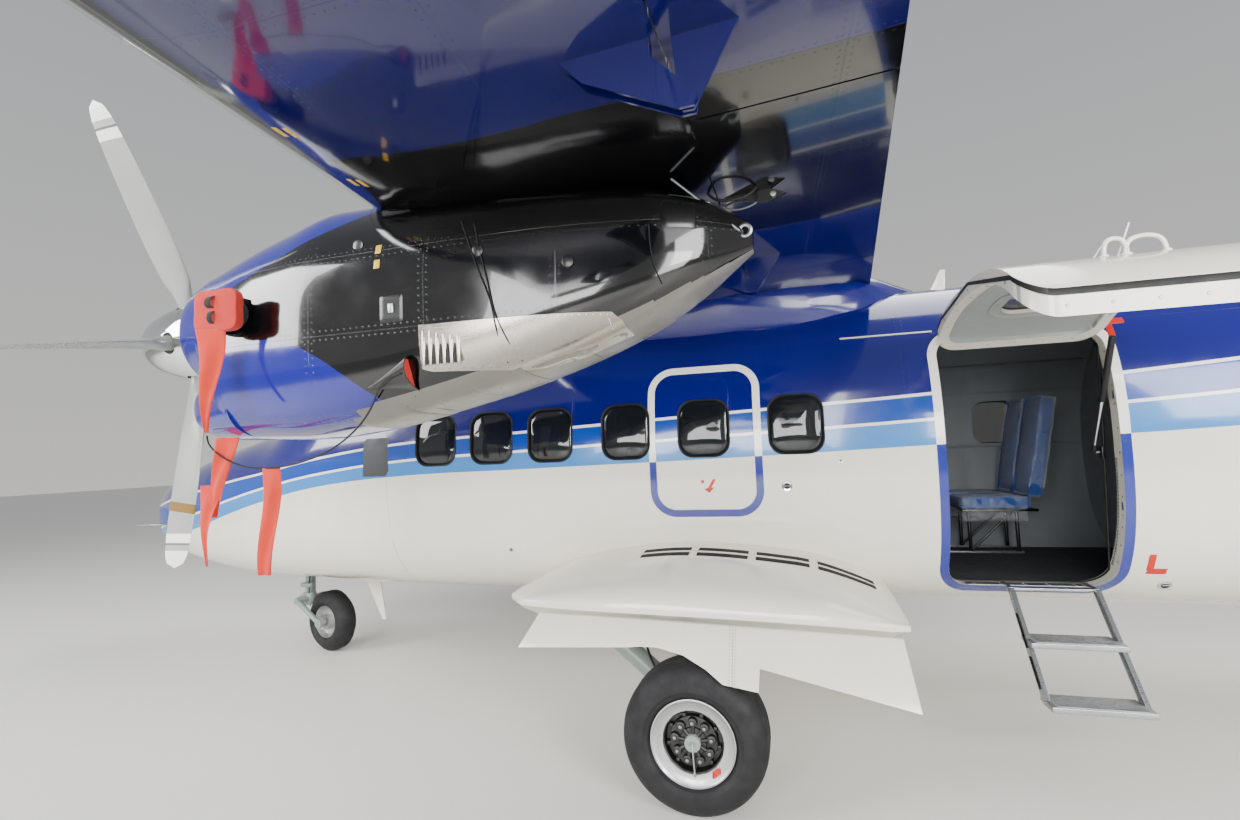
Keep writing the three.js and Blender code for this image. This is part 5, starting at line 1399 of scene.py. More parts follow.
COVER_PLACE = Vector((-3.245, -2.840, 2.385))
CORD_ROUTE = [(-3.623, -2.600, 1.875), (-3.600, -2.610, 1.838), (-3.560, -2.612, 1.800), (-3.500, -2.608, 1.762),
              (-3.430, -2.604, 1.733), (-3.360, -2.602, 1.717), (-3.288, -2.600, 1.711), (-3.210, -2.602, 1.713),
              (-3.130, -2.606, 1.721), (-3.050, -2.612, 1.735), (-2.969, -2.622, 1.754), (-2.880, -2.640, 1.781),
              (-2.790, -2.664, 1.816), (-2.710, -2.690, 1.856), (-2.640, -2.716, 1.900), (-2.580, -2.744, 1.948),
              (-2.530, -2.778, 1.993), (-2.480, -2.812, 2.026), (-2.430, -2.830, 2.046), (-2.390, -2.826, 2.056)]
LASHINGS = [[(-2.144, 2.656), (-2.10, 2.56), (-2.055, 2.44), (-2.01, 2.32), (-1.99, 2.20), (-1.979, 2.085)],
            [(-2.085, 2.64), (-2.05, 2.52), (-2.02, 2.40), (-1.995, 2.28), (-1.955, 2.17), (-1.925, 2.09)],
            [(-1.400, 2.56), (-1.398, 2.48), (-1.385, 2.40), (-1.365, 2.34)]]


def route_length(points):
    return sum((Vector(b) - Vector(a)).length for a, b in zip(points, points[1:]))


def cord_along(name, points, radius, material):
    """A round cord swept along its own route, and that route, closely spaced."""
    fine = [smooth_route(points, i / 4)[0] for i in range((len(points) - 1) * 4 + 1)]

    def surface(u, v):
        i = round(u * (len(fine) - 1))
        way = (fine[min(i + 1, len(fine) - 1)] - fine[max(i - 1, 0)]).normalized()
        side = way.cross(Vector((0.2, 1, 0.1))).normalized()
        a = v * tau
        return fine[i] + (side * cos(a) + way.cross(side) * sin(a)) * radius
    return settle(capped(ruled(name, len(fine) - 1, 10, surface, material, 60)), 60, 0.00002), fine


def exhaust_covers():
    """Padded covers plugged into the outboard exhausts, with their handles and streamers."""
    body = pad("port_exhaust_cover_pad", COVER_PLACE, 0.116, 0.090, 0.054, COVER_CLOTH)
    plug = rod("port_exhaust_cover_plug", (-3.263, -2.745, 2.382), (-3.238, -2.842, 2.386), 0.071, BLACK_WEBBING, 40,
               bevel=0.006)
    face = COVER_PLACE.y - 0.052
    x, z = COVER_PLACE.x - 0.005, COVER_PLACE.z
    handle = joined("port_cover_handle",
                    [strap("grip", [(x, face + 0.004, z + 0.060), (x, face - 0.010, z + 0.052),
                                    (x - 0.004, face - 0.020, z + 0.035), (x - 0.006, face - 0.016, z + 0.016),
                                    (x - 0.002, face + 0.002, z + 0.008)], 0.030, 0.004, (1, 0, 0), BLACK_WEBBING),
                     strap("grip", [(x, face + 0.004, z - 0.004), (x + 0.006, face - 0.014, z - 0.014),
                                    (x + 0.008, face - 0.022, z - 0.032), (x + 0.004, face - 0.014, z - 0.050),
                                    (x, face + 0.003, z - 0.058)], 0.024, 0.004, (1, 0, 0), BLACK_WEBBING)])
    flag, flag_area, flag_drop = ribbon("port_cover_streamer", (-3.256, -2.899, 2.304), (-3.262, -2.895, 1.868),
                                        (0.128, 0.016), (1, 0.15, 0), seed=0.4)
    for piece in (body, plug, handle, flag):
        other = mirror_of(piece, piece.name.replace("port", "starboard"))
        for each, side_name in ((piece, "port"), (other, "starboard")):
            if piece is body:
                ridden(each, AIRFRAME, side_name + "_exhaust_cover", slot="red_cover")
            else:
                ridden(each)
    hung = [("port_chin_streamer", (-3.507, -2.602, 1.862), (-3.565, -2.606, 1.488), (0.105, 0.040), 1.3),
            ("port_chin_tag", (-3.572, -2.622, 1.640), (-3.600, -2.626, 1.262), (0.110, 0.014), 2.4),
            ("port_cord_streamer", (-3.242, -2.601, 1.711), (-3.262, -2.603, 1.228), (0.088, 0.060), 0.2)]
    for title, top, foot, widths, seed in hung:
        flag, area, drop = ribbon(title, top, foot, widths, (1, 0.1, 0), seed=seed)
        ridden(flag)
    line, fine = cord_along("port_rigging_cord", CORD_ROUTE, 0.004, BLACK_CORD)
    ridden(line)
    round(route_length(fine), 3)
    [tuple(p) for p in fine]
    for i, marks in enumerate(LASHINGS):
        route = [(x, cowl_side(x, z, 0.005), z) for x, z in marks]
        line, fine = cord_along("port_cowl_lashing_%d" % (i + 1), route, 0.0022, BLACK_CORD)
        ridden(line)
        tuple(route[0])
        round(route_length(fine), 3)
        [tuple(p) for p in fine]


def strap_point(u, v):
    """The tie strap round the lower blade: a band 45 mm wide that stands 2 mm off the blade."""
    radius = 0.835 + 0.045 * min(1, max(0, (u - 0.25) * 2))
    off = -0.001 if u in (0, 1) else 0.0022
    a = v * tau
    chord, thick, twist = along_table(BLADE_SECTIONS, radius, (1, 2, 3))
    x, y = cos(a) * (chord / 2 + off), sin(a) * (thick / 2 + off)
    w = radians(twist)
    point = Vector((x * cos(w) - y * sin(w), x * sin(w) + y * cos(w), radius + 0.12 * x))
    return Matrix.Rotation(radians(BLADE_START + 144), 3, "X") @ point + PROP


def nacelle():
    skin = cowl_loft("port_cowl", NACELLE_SECTIONS, 56, 96)
    for part in (cowl_loft("ring", COWL_SECTIONS, 22, 72, (2.15, 2.15)),
                 cowl_loft("chin", CHIN_SECTIONS, 26, 72, (2.4, 2.6))):
        carve(skin, part, "UNION")

    def mouth_point(u, v):
        turn, (wide, high) = v * tau, MOUTH_HALF if 0 < u < 1 else (0, 0)
        return Vector((-3.83 + 0.30 * min(1, max(0, u * 16 - 1) / 14), PROP.y + wide * cos(turn),
                       MOUTH_Z + high * sin(turn)))
    mouth = ruled("mouth", 16, 48, mouth_point, COWL_PAINT)
    carve(skin, mouth)
    carve(skin, rod("lip", (-3.80, PROP.y, LIP_Z), (-3.705, PROP.y, LIP_Z), LIP_RADIUS, COWL_PAINT, 72))
    settle(skin, 32)

    def in_lip_or_mouth(at, way):
        in_lip = hypot(at.y - PROP.y, at.z - LIP_Z) < LIP_RADIUS - 0.0001 and at.x < -3.69
        across, up = abs(at.y - PROP.y) < MOUTH_HALF[0] - 0.001, abs(at.z - MOUTH_Z) < MOUTH_HALF[1] - 0.0005
        return in_lip or across and up and -3.775 < at.x < -3.5
    # Inside the lip's recess and the intake mouth the faces are black: painted shade of the hollows.
    faces_take(skin, BLACK_PAINT, in_lip_or_mouth)
    faces_take(skin, GREY_PRIMER, lambda at, way: way.z < -0.72 and at.x > -2.68)
    shield, slots = heat_shield()
    hood, plug = scoop()
    ring = turned("ring", [(0.015, -0.004), (0.022, -0.007), (0.029, -0.004), (0.029, 0.004), (0.022, 0.007),
                           (0.015, 0.004)], (-1.066, cowl_side(-1.066, 2.556, 0.006), 2.566), (0, 1, 0), STEEL, 40)
    link = rod("link", (-1.330, cowl_side(-1.330, 2.70, -0.03), 2.775),
               (-1.085, cowl_side(-1.085, 2.556, 0.008), 2.560), 0.0045, STEEL, 12)
    parts = {"cowl": skin, "heat_shield": shield, "louvre_slots": slots, "outlet_hood": hood, "outlet_plug": plug,
             "tail_ring": joined("tail_ring", [ring, link]), "cowl_hatches": cowl_hatches()}
    for title, piece in parts.items():
        piece.name = piece.data.name = "port_" + title
        for each, side_name in ((piece, "port"), (mirror_of(piece, "starboard_" + title), "starboard")):
            if title == "cowl":
                ridden(each, AIRFRAME, side_name + "_nacelle", slot="black_skin")
            else:
                ridden(each)
    for side_name, _ in SIDES:
        dressed(side_name + "_exhaust_stubs", side_name + "_engine", EXHAUST_STEEL, slot="engine_steel", angle=40)


# Blade sections: radius, chord, thickness, twist in degrees
BLADE_SECTIONS = [
    (0.120, 0.084, 0.084, 0), (0.230, 0.092, 0.070, 0), (0.330, 0.150, 0.046, 8), (0.560, 0.176, 0.030, 5),
    (0.850, 0.168, 0.020, 0), (1.060, 0.140, 0.014, -4), (1.140, 0.078, 0.010, -6), (1.150, 0.040, 0.006, -6),
]
# The first blade's turn in degrees, how many there are, and where a blade starts and how long it is
BLADE_START, BLADES, BLADE_ROOT, BLADE_LENGTH = 28.5, 5, 0.12, 1.03


def blade(turn):
    def surface(u, v):
        rows = 44
        along = u * (rows + 2) - 1
        radius = BLADE_ROOT + BLADE_LENGTH * min(max(along / rows, 0), 1)
        chord, thick, twist = along_table(BLADE_SECTIONS, radius, (1, 2, 3))
        if along < 0 or along > rows:
            chord = thick = 0
        a = v * tau
        share = min(1, max(0, (radius - 0.24) / 0.15))
        taper = 1 - 0.45 * share * (0.5 - 0.5 * cos(a))
        x, y = cos(a) * chord / 2, sin(a) * thick / 2 * taper
        w = radians(twist)
        point = Vector((x * cos(w) - y * sin(w), x * sin(w) + y * cos(w), radius))
        return Matrix.Rotation(radians(turn), 3, "X") @ point + PROP
    return ruled("blade", 46, 28, surface, BLADE_PAINT, 35)


def blade_paint():
    """Satin polyurethane on an aluminium blade: warm grey, with a white stripe inside a white tip."""
    material, tree, shader = finish_of("satin_enamel_propeller_blade", ior=1.5, coat_weight=0.15)
    _, y, z = place_of(tree)
    off = add(tree, "Math SUBTRACT", add(tree, "Math ABSOLUTE", y), -PROP.y)
    up = add(tree, "Math SUBTRACT", z, PROP.z)
    radius = add(tree, "Math SQRT",
                 add(tree, "Math ADD", add(tree, "Math MULTIPLY", off, off), add(tree, "Math MULTIPLY", up, up)))
    colour = add(tree, "Mix", {0: noise(tree, 4, 4), 6: linear("#8b8e88"), 7: linear("#9fa29b")})
    for reach, hex_colour in ((0.985, "#efeee9"), (1.030, "#5f625f"), (1.040, "#9fa29b"), (1.068, "#efeee9")):
        colour = add(tree, "Mix",
                     {0: add(tree, "Math GREATER_THAN", radius, reach), 6: colour, 7: linear(hex_colour)})
    wire(tree, shader, base_color=colour,
         roughness=add(tree, "MapRange", noise(tree, 20, 4, stretch=(6, 1, 1)), *NOISE_SPAN, 0.28, 0.42))
    bump(tree, shader, noise(tree, 60, 4, stretch=(5, 1, 1)), 0.2, 0.0004)
    return material


BLADE_PAINT = blade_paint()  # satin grey with white tips


def propellers():
    blades = [blade(BLADE_START + i * 360 / BLADES) for i in range(BLADES)]
    hub = turned("hub", [(0, -0.07), (0.135, -0.07), (0.15, -0.055), (0.15, 0.045), (0.135, 0.06), (0, 0.06)],
                 PROP, (1, 0, 0), DARK_HUB, 48)
    collars, blade_ways = [], []
    for i in range(BLADES):
        way = Matrix.Rotation(radians(BLADE_START + i * 360 / BLADES), 3, "X") @ Vector((0, 0, 1))
        collars.append(turned("collar",
                              [(0.0, 0.150), (0.050, 0.150), (0.0525, 0.156), (0.0525, 0.186), (0.049, 0.192),
                               (0.0, 0.192)], PROP, way, SEAL_RUBBER, 32))
        blade_ways.append(way)
    whole = joined("port_propeller", [hub] + blades + collars)
    strip = ruled("port_blade_strap", 4, 40, strap_point, TAN_WEBBING, 50)
    tip = PROP - Vector((0.375, 0, 0))
    outer = [(0, 0), (0.030, 0.005), (0.060, 0.018), (0.095, 0.048), (0.125, 0.090), (0.155, 0.155), (0.180, 0.240),
             (0.197, 0.330), (0.208, 0.420), (0.209, 0.470)]
    hollow = [(0.197, 0.470), (0.185, 0.34), (0.15, 0.19), (0.09, 0.08), (0, 0.030)]
    dome = turned("port_spinner_shell", outer + hollow, tip, (1, 0, 0), CHROME, 80, 30)
    for way in blade_ways:
        carve(dome, rod("slot", PROP, PROP + way * 0.26, 0.054, CHROME, 32))
    settle(dome, 30)
    rim = turned("rim", [(0.2095, 0.464), (0.2095, 0.474), (0.205, 0.476), (0.200, 0.470)], tip, (1, 0, 0), STEEL, 80)
    dome = joined("port_spinner_shell", [dome, rim])
    for side_name, _ in SIDES:
        body = side_name + "_propeller"
        if side_name == "starboard":
            whole, dome = mirror_of(whole, "starboard_propeller"), mirror_of(dome, "starboard_spinner_shell")
            strip = mirror_of(strip, "starboard_blade_strap")
        ridden(whole, body, side_name + "_propeller_blades", slot="blade_metal")
        ridden(dome, body, side_name + "_spinner", slot="spinner_chrome")
        ridden(strip, body)


# Sponson sections: x, chine y, chine z, top z by the body, bottom z
SPONSON_SECTIONS = [(-2.560, -1.560, 0.905, 0.935, 0.870), (-2.420, -1.700, 0.905, 1.000, 0.800),
                    (-2.060, -1.745, 0.900, 1.090, 0.720), (-1.560, -1.755, 0.892, 1.140, 0.700),
                    (-0.960, -1.755, 0.876, 1.090, 0.700), (-0.560, -1.745, 0.856, 0.960, 0.720),
                    (-0.450, -1.700, 0.845, 0.880, 0.800)]
# Where the sponson starts, its length, and the y at which it runs into the body
SPONSON_START, SPONSON_LENGTH, SPONSON_ROOT = -2.56, 2.11, -0.62


def sponson_point(x, v):
    """Round one section: over the dome to the chine, and back under to the body."""
    y, z, top, bottom = along_table(SPONSON_SECTIONS, x, (1, 2, 3, 4))
    parts = [Vector((x, SPONSON_ROOT, top))]
    for i in range(15):
        t = 0.10 + (pi / 2 - 0.10) * i / 14
        parts.append(Vector((x, -0.9 + (y + 0.9) * sin(t), z + 0.012 + (top - z - 0.012) * cos(t))))
    parts += [Vector((x, y, z - 0.012)), Vector((x, y + 0.06, max(z - 0.05, bottom + 0.02))),
              Vector((x, y + 0.14, bottom + 0.018)), Vector((x, y + 0.26, bottom)), Vector((x, y + 0.5, bottom)),
              Vector((x, SPONSON_ROOT, bottom))]
    return round_outline(parts, v) if v < 1 else parts[0]


def sponsons():
    stations, around = 50, 66

    def surface(u, v):
        along = round(u * (stations + 2)) - 1
        x = SPONSON_START + SPONSON_LENGTH * min(max(along / stations, 0), 1)
        if along < 0 or along > stations:
            y, top, bottom = along_table(SPONSON_SECTIONS, x, (1, 3, 4))
            return Vector((x, (y + SPONSON_ROOT) / 2, (top + bottom) / 2))
        return sponson_point(x, v)
    shell = ruled("port_sponson_shell", stations + 2, around, surface, WHITE_PAINT, 32)
    carve(shell, block("well", (-1.96, -1.9, 0.5), (-1.06, -1.56, 0.8), BLACK_PAINT, 0))
    carve(shell, block("well", (-2.2, -1.56, 0.6), (-1.3, -1.33, 0.83), BLACK_PAINT, 0))
    settle(shell, 32)
    dressed("port_gear_door", "port_gear_panel", WHITE_PAINT, slot="white_skin", bevel=0.003)
    strips = grip_strips()
    for side_name, _ in SIDES:
        if side_name == "starboard":
            shell, strips = mirror_of(shell, "starboard_sponson_shell"), mirror_of(strips, "starboard_grip_strips")
            dressed("starboard_gear_door", "starboard_gear_panel", WHITE_PAINT, slot="white_skin", bevel=0.003)
        ridden(shell, AIRFRAME, side_name + "_sponson", slot="white_skin")
        ridden(strips)


def sponson_top(x, y):
    """Height of the sponson's dome at x and y."""
    chine_y, z, top, _ = along_table(SPONSON_SECTIONS, x, (1, 2, 3, 4))
    share = min(1, max(0, (y + 0.9) / (chine_y + 0.9)))
    return z + 0.012 + (top - z - 0.012) * sqrt(1 - share ** 2)


def grip_strips():
    """Eight anti-slip strips on the sponson's back, in pairs."""
    pieces = []
    for i in range(4):
        for row in range(2):
            x0, y0 = -1.84 + i * 0.335, -1.16 - row * 0.10

            def surface(u, v):
                x = x0 + 0.29 * inner(u, 0.05)
                y = y0 - 0.062 * inner(v, 0.05)
                edge = u in (0, 1) or v in (0, 1)
                return Vector((x, y, sponson_top(x, y) + (-0.002 if edge else 0.0022)))
            pieces.append(ruled("strip", 20, 10, surface, GRIP_TAPE, 40))
    return joined("port_grip_strips", pieces)


# Wheels: the main wheel's radius, its tyre's width, its rim's radius and how many bosses its hub has
MAIN_WHEEL, TYRE_WIDTH, RIM_RADIUS, BOSSES = 0.35, 0.29, 0.205, 9
MAIN_AXLE = (-1.46, 1.825)


def tyre_profile(radius, width, rim, grooves):
    """The tyre's section: bead, sidewall, shoulder and a tread with grooves, as (radius, along) pairs."""
    half, shoulder = width / 2, radius - 0.045
    side = [(rim, -half + 0.03), (rim + 0.012, -half + 0.012), (rim + 0.03, -half + 0.005),
            (rim + 0.034, -half + 0.0015), ((rim + shoulder) / 2, -half), (shoulder - 0.02, -half + 0.006),
            (shoulder, -half + 0.014), (shoulder + 0.022, -half + 0.03), (radius - 0.008, -half * 0.66),
            (radius - 0.002, -half * 0.5)]
    tread = []
    for g in grooves:
        for step, depth in ((-0.008, 0), (-0.006, 0.009), (0.006, 0.009), (0.008, 0)):
            tread.append((radius - depth, g + step))
    return side + tread + [(r, -a) for r, a in reversed(side)]


def main_wheel(side_name, sign):
    centre, axis = (MAIN_AXLE[0], sign * MAIN_AXLE[1], MAIN_WHEEL), (0, sign, 0)
    body = side_name + "_main_wheel"
    tyre = turned(side_name + "_tyre_rubber",
                  tyre_profile(MAIN_WHEEL, TYRE_WIDTH, RIM_RADIUS, (-0.045, -0.015, 0.015, 0.045)), centre, axis,
                  RUBBER, 96, 30)
    ridden(tyre, body, side_name + "_main_tyre", slot="tyre")
    bore, half, edge = 0.0395, TYRE_WIDTH / 2, 0.2042
    face = [(bore, -half + 0.02), (bore + 0.045, -half + 0.01), (bore + 0.05, -half + 0.065),
            (edge - 0.045, -half + 0.065), (edge - 0.03, -half + 0.058), (edge - 0.022, -half + 0.04),
            (edge - 0.006, -half + 0.026), (edge, -half + 0.026)]
    out = [(bore, half - 0.050), (0.112, half - 0.055), (0.116, half - 0.082), (0.134, half - 0.082),
           (0.139, half - 0.044), (0.146, half - 0.034), (0.160, half - 0.033), (0.186, half - 0.026),
           (edge - 0.008, half - 0.017), (edge - 0.002, half - 0.018), (edge, half - 0.026)]
    rim = turned("rim", face + list(reversed(out)), centre, axis, WHEEL_ALLOY, 96, 30)
    middle, out_way = Vector(centre), Vector((0, sign, 0))

    def in_hub(at, way):
        return (at.y - middle.y) * sign > half - 0.09 and hypot(at.x - middle.x, at.z - middle.z) < 0.1385
    faces_take(rim, DARK_HUB, in_hub)
    ridden(rim, body, side_name + "_main_rim", slot="rim_alloy")
    lugs = [turned("hub", [(0.0, 0.118), (0.020, 0.118), (0.030, 0.113), (0.036, 0.102), (0.062, 0.100),
                           (0.066, 0.094), (0.0, 0.094)], centre, axis, DARK_HUB, 48, 30)]
    bolts = []

    def round_hub(angle, radius):
        return middle + Vector((cos(angle), 0, sin(angle))) * radius
    for i in range(BOSSES):
        a = (i + 0.25) * tau / BOSSES
        at = round_hub(a, 0.088)
        lugs.append(rod("boss", at + out_way * 0.088, at + out_way * 0.112, 0.0235, DARK_HUB, 24, 0.0205, 0.003))
        lugs.append(rod("spoke", middle + (at - middle) * 0.4 + out_way * 0.100, at + out_way * 0.100, 0.010,
                        DARK_HUB, 12))
        bolts.append(rod("bolt", at + out_way * 0.112, at + out_way * 0.121, 0.0085, STEEL, 6, bevel=0.001))
        at, (near, far) = round_hub(a + pi / BOSSES, 0.122), sorted((0.060 * sign, 0.092 * sign))
        lugs.append(block("key", at + Vector((-0.009, near, -0.009)), at + Vector((0.009, far, 0.009)), DARK_HUB,
                          0.003))
    cap = rod("cap", middle + out_way * 0.116, middle + out_way * 0.130, 0.017, RED_PAINT, 20, bevel=0.003)
    rod_low = middle + Vector((0.004, sign * 0.116, -0.142))
    stem = tube("stem", [middle + out_way * 0.128, middle + out_way * 0.132 + Vector((0, 0, -0.02)),
                         middle + out_way * 0.128 + Vector((0.002, 0, -0.09)), rod_low], 0.0035, CHROME, 10)
    nut = rod("nut", rod_low - out_way * 0.006, rod_low + out_way * 0.006, 0.010, STEEL, 6, bevel=0.001)
    mark = turned("mark", [(0.150, 0.1125), (0.176, 0.1185), (0.176, 0.1195), (0.150, 0.1135)], centre, axis,
                  RED_PAINT, 96, 30)
    carve(mark, block("keep", middle + Vector((0.085, -0.4, -0.150)), middle + Vector((0.125, 0.4, -0.105)),
                      RED_PAINT, 0), "INTERSECT")
    ridden(joined(side_name + "_wheel_hub_cap", lugs + bolts + [cap, stem, nut, mark]), body)


def legs():
    for side_name, _ in SIDES:
        dressed(side_name + "_leg_forging", side_name + "_main_leg", LEG_ENAMEL, slot="gear_steel", angle=40,
                bevel=0.003)
    dressed("nose_leg_tube", "nose_leg", LEG_ENAMEL, slot="gear_steel", angle=40, bevel=0.002)
    dressed("nose_fork_forging", "nose_fork", LEG_ENAMEL, "nose_fork", "gear_steel", 40, 0.002)
    dressed("nose_tyre_rubber", "nose_tyre", RUBBER, "nose_wheel", "tyre", 50)
    dressed("nose_wheel_rim", "nose_rim", WHEEL_ALLOY, "nose_wheel", "rim_alloy", 35)


def tail():
    dressed("fin_skin", "fin", NIGHT_PAINT, slot="navy_skin")
    dressed("rudder_skin", "rudder", NIGHT_PAINT, "rudder", "fabric_covered_surface")
    dressed("tailplane_skin", "tailplane", WHITE_PAINT, slot="white_skin")
    for side_name, _ in SIDES:
        dressed(side_name + "_elevator_skin", side_name + "_elevator", WHITE_PAINT, side_name + "_elevator")


def inside():
    for title, node, material, slot in (("cabin_carpet", "cabin_floor", FLOOR, "floor_grey"),
                                        ("cockpit_bulkhead_liner", "cockpit_bulkhead", LINER, "lining_grey"),
                                        ("rear_bulkhead_liner", "rear_bulkhead", LINER, "lining_grey"),
                                        ("cockpit_deck_liner", "cockpit_deck", LINER, "floor_grey")):
        dressed(title, node, material, slot=slot)
    cloth, frames, film = [], [], []
    first_seat, pitch, wrapped_from = -3.3, 0.75, -1.2
    for y, width, count in ((-0.48, 0.44, 4), (0.47, 0.76, 6)):
        for i in range(count):
            x = first_seat + pitch * i
            for kept, made in zip((cloth, frames, film), cabin_seat(x, y, width, x > wrapped_from)):
                kept += made
        spread, last = min(width / 3, 0.15), first_seat + pitch * (count - 1)
        for low in (y - spread, y + spread - 0.04):
            frames.append(block("rail", (-3.46, low, 0.8605), (last + 0.22, low + 0.04, 0.874), ALUMINIUM, 0.002))
    for y in (-0.53, -0.33, 0.33, 0.53):
        frames.append(block("stand", (-4.56, y - 0.03, CABIN_FLOOR), (-4.26, y + 0.03, 1.186), BLACK_PAINT, 0.006))
    frames.append(block("rail", (-4.56, -0.56, CABIN_FLOOR), (-4.50, 0.56, 0.880), ALUMINIUM, 0.002))
    ridden(joined("seat_frames", frames))
    seats = joined("cabin_seat_cushions", cloth)
    ridden(seats, AIRFRAME, "cabin_seats", slot="seat_fabric")
    ridden(joined("seat_film_covers", film))
    pads = []
    for y in (-0.43, 0.43):
        pads.append(cushion((-4.64, y - 0.21, 1.18), (-4.18, y + 0.21, 1.29), 0.018, SEAT_CLOTH))
        back = cushion((0.0, y - 0.21, 0.0), (0.09, y + 0.21, 0.73), 0.018, SEAT_CLOTH)
        pads.append(leaned(back, -4.237, 1.279, 7.2))
    pilots = joined("pilot_seat_cushions", pads)
    ridden(pilots, AIRFRAME, "pilot_seats", slot="seat_fabric")
    lining()


def reach_map(target):
    """A finder of the points where rays meet a piece."""
    return BVHTree.FromPolygons([v.co for v in target.data.vertices], [p.vertices[:] for p in target.data.polygons])


def laid(name, finder, start_at, reach, material, lift=0.0018, across=6, along=6):
    """A thin plate laid on a surface: its points start at start_at(u, v) and go along reach until they meet it."""
    reach = Vector(reach).normalized()

    def surface(u, v):
        start = Vector(start_at(inner(u, 0.02), inner(v, 0.02)))
        hit = finder.ray_cast(start, reach)[0] or finder.find_nearest(start)[0]
        return hit - reach * (lift if off_rim(u, v) else -0.0015)
    return ruled(name, across, along, surface, material, 40)


def body_mark(name, corners, material, lift=0.0015):
    """A painted mark on the body's port side: four corners as (x, z)."""
    a, b, c, d = corners

    def surface(u, v):
        s, t = inner(u, 0.02), inner(v, 0.02)
        x = (a[0] * (1 - s) + b[0] * s) * (1 - t) + (d[0] * (1 - s) + c[0] * s) * t
        z = (a[1] * (1 - s) + b[1] * s) * (1 - t) + (d[1] * (1 - s) + c[1] * s) * t
        return Vector((x, body_side(x, z) - (lift if off_rim(u, v) else -0.0015), z))
    return ruled(name, 6, 6, surface, material, 40)


def oblong(x0, x1, z0, z1):
    return [(x0, z0), (x1, z0), (x1, z1), (x0, z1)]


def both_sides(name, pieces, body=AIRFRAME):
    """Joins port pieces and rides them and their mirror image on a body."""
    port = joined("port_" + name, pieces)
    other = mirror_of(port, "starboard_" + name)
    ridden(port, body)
    ridden(other, body if body == AIRFRAME else body.replace("port", "starboard"))


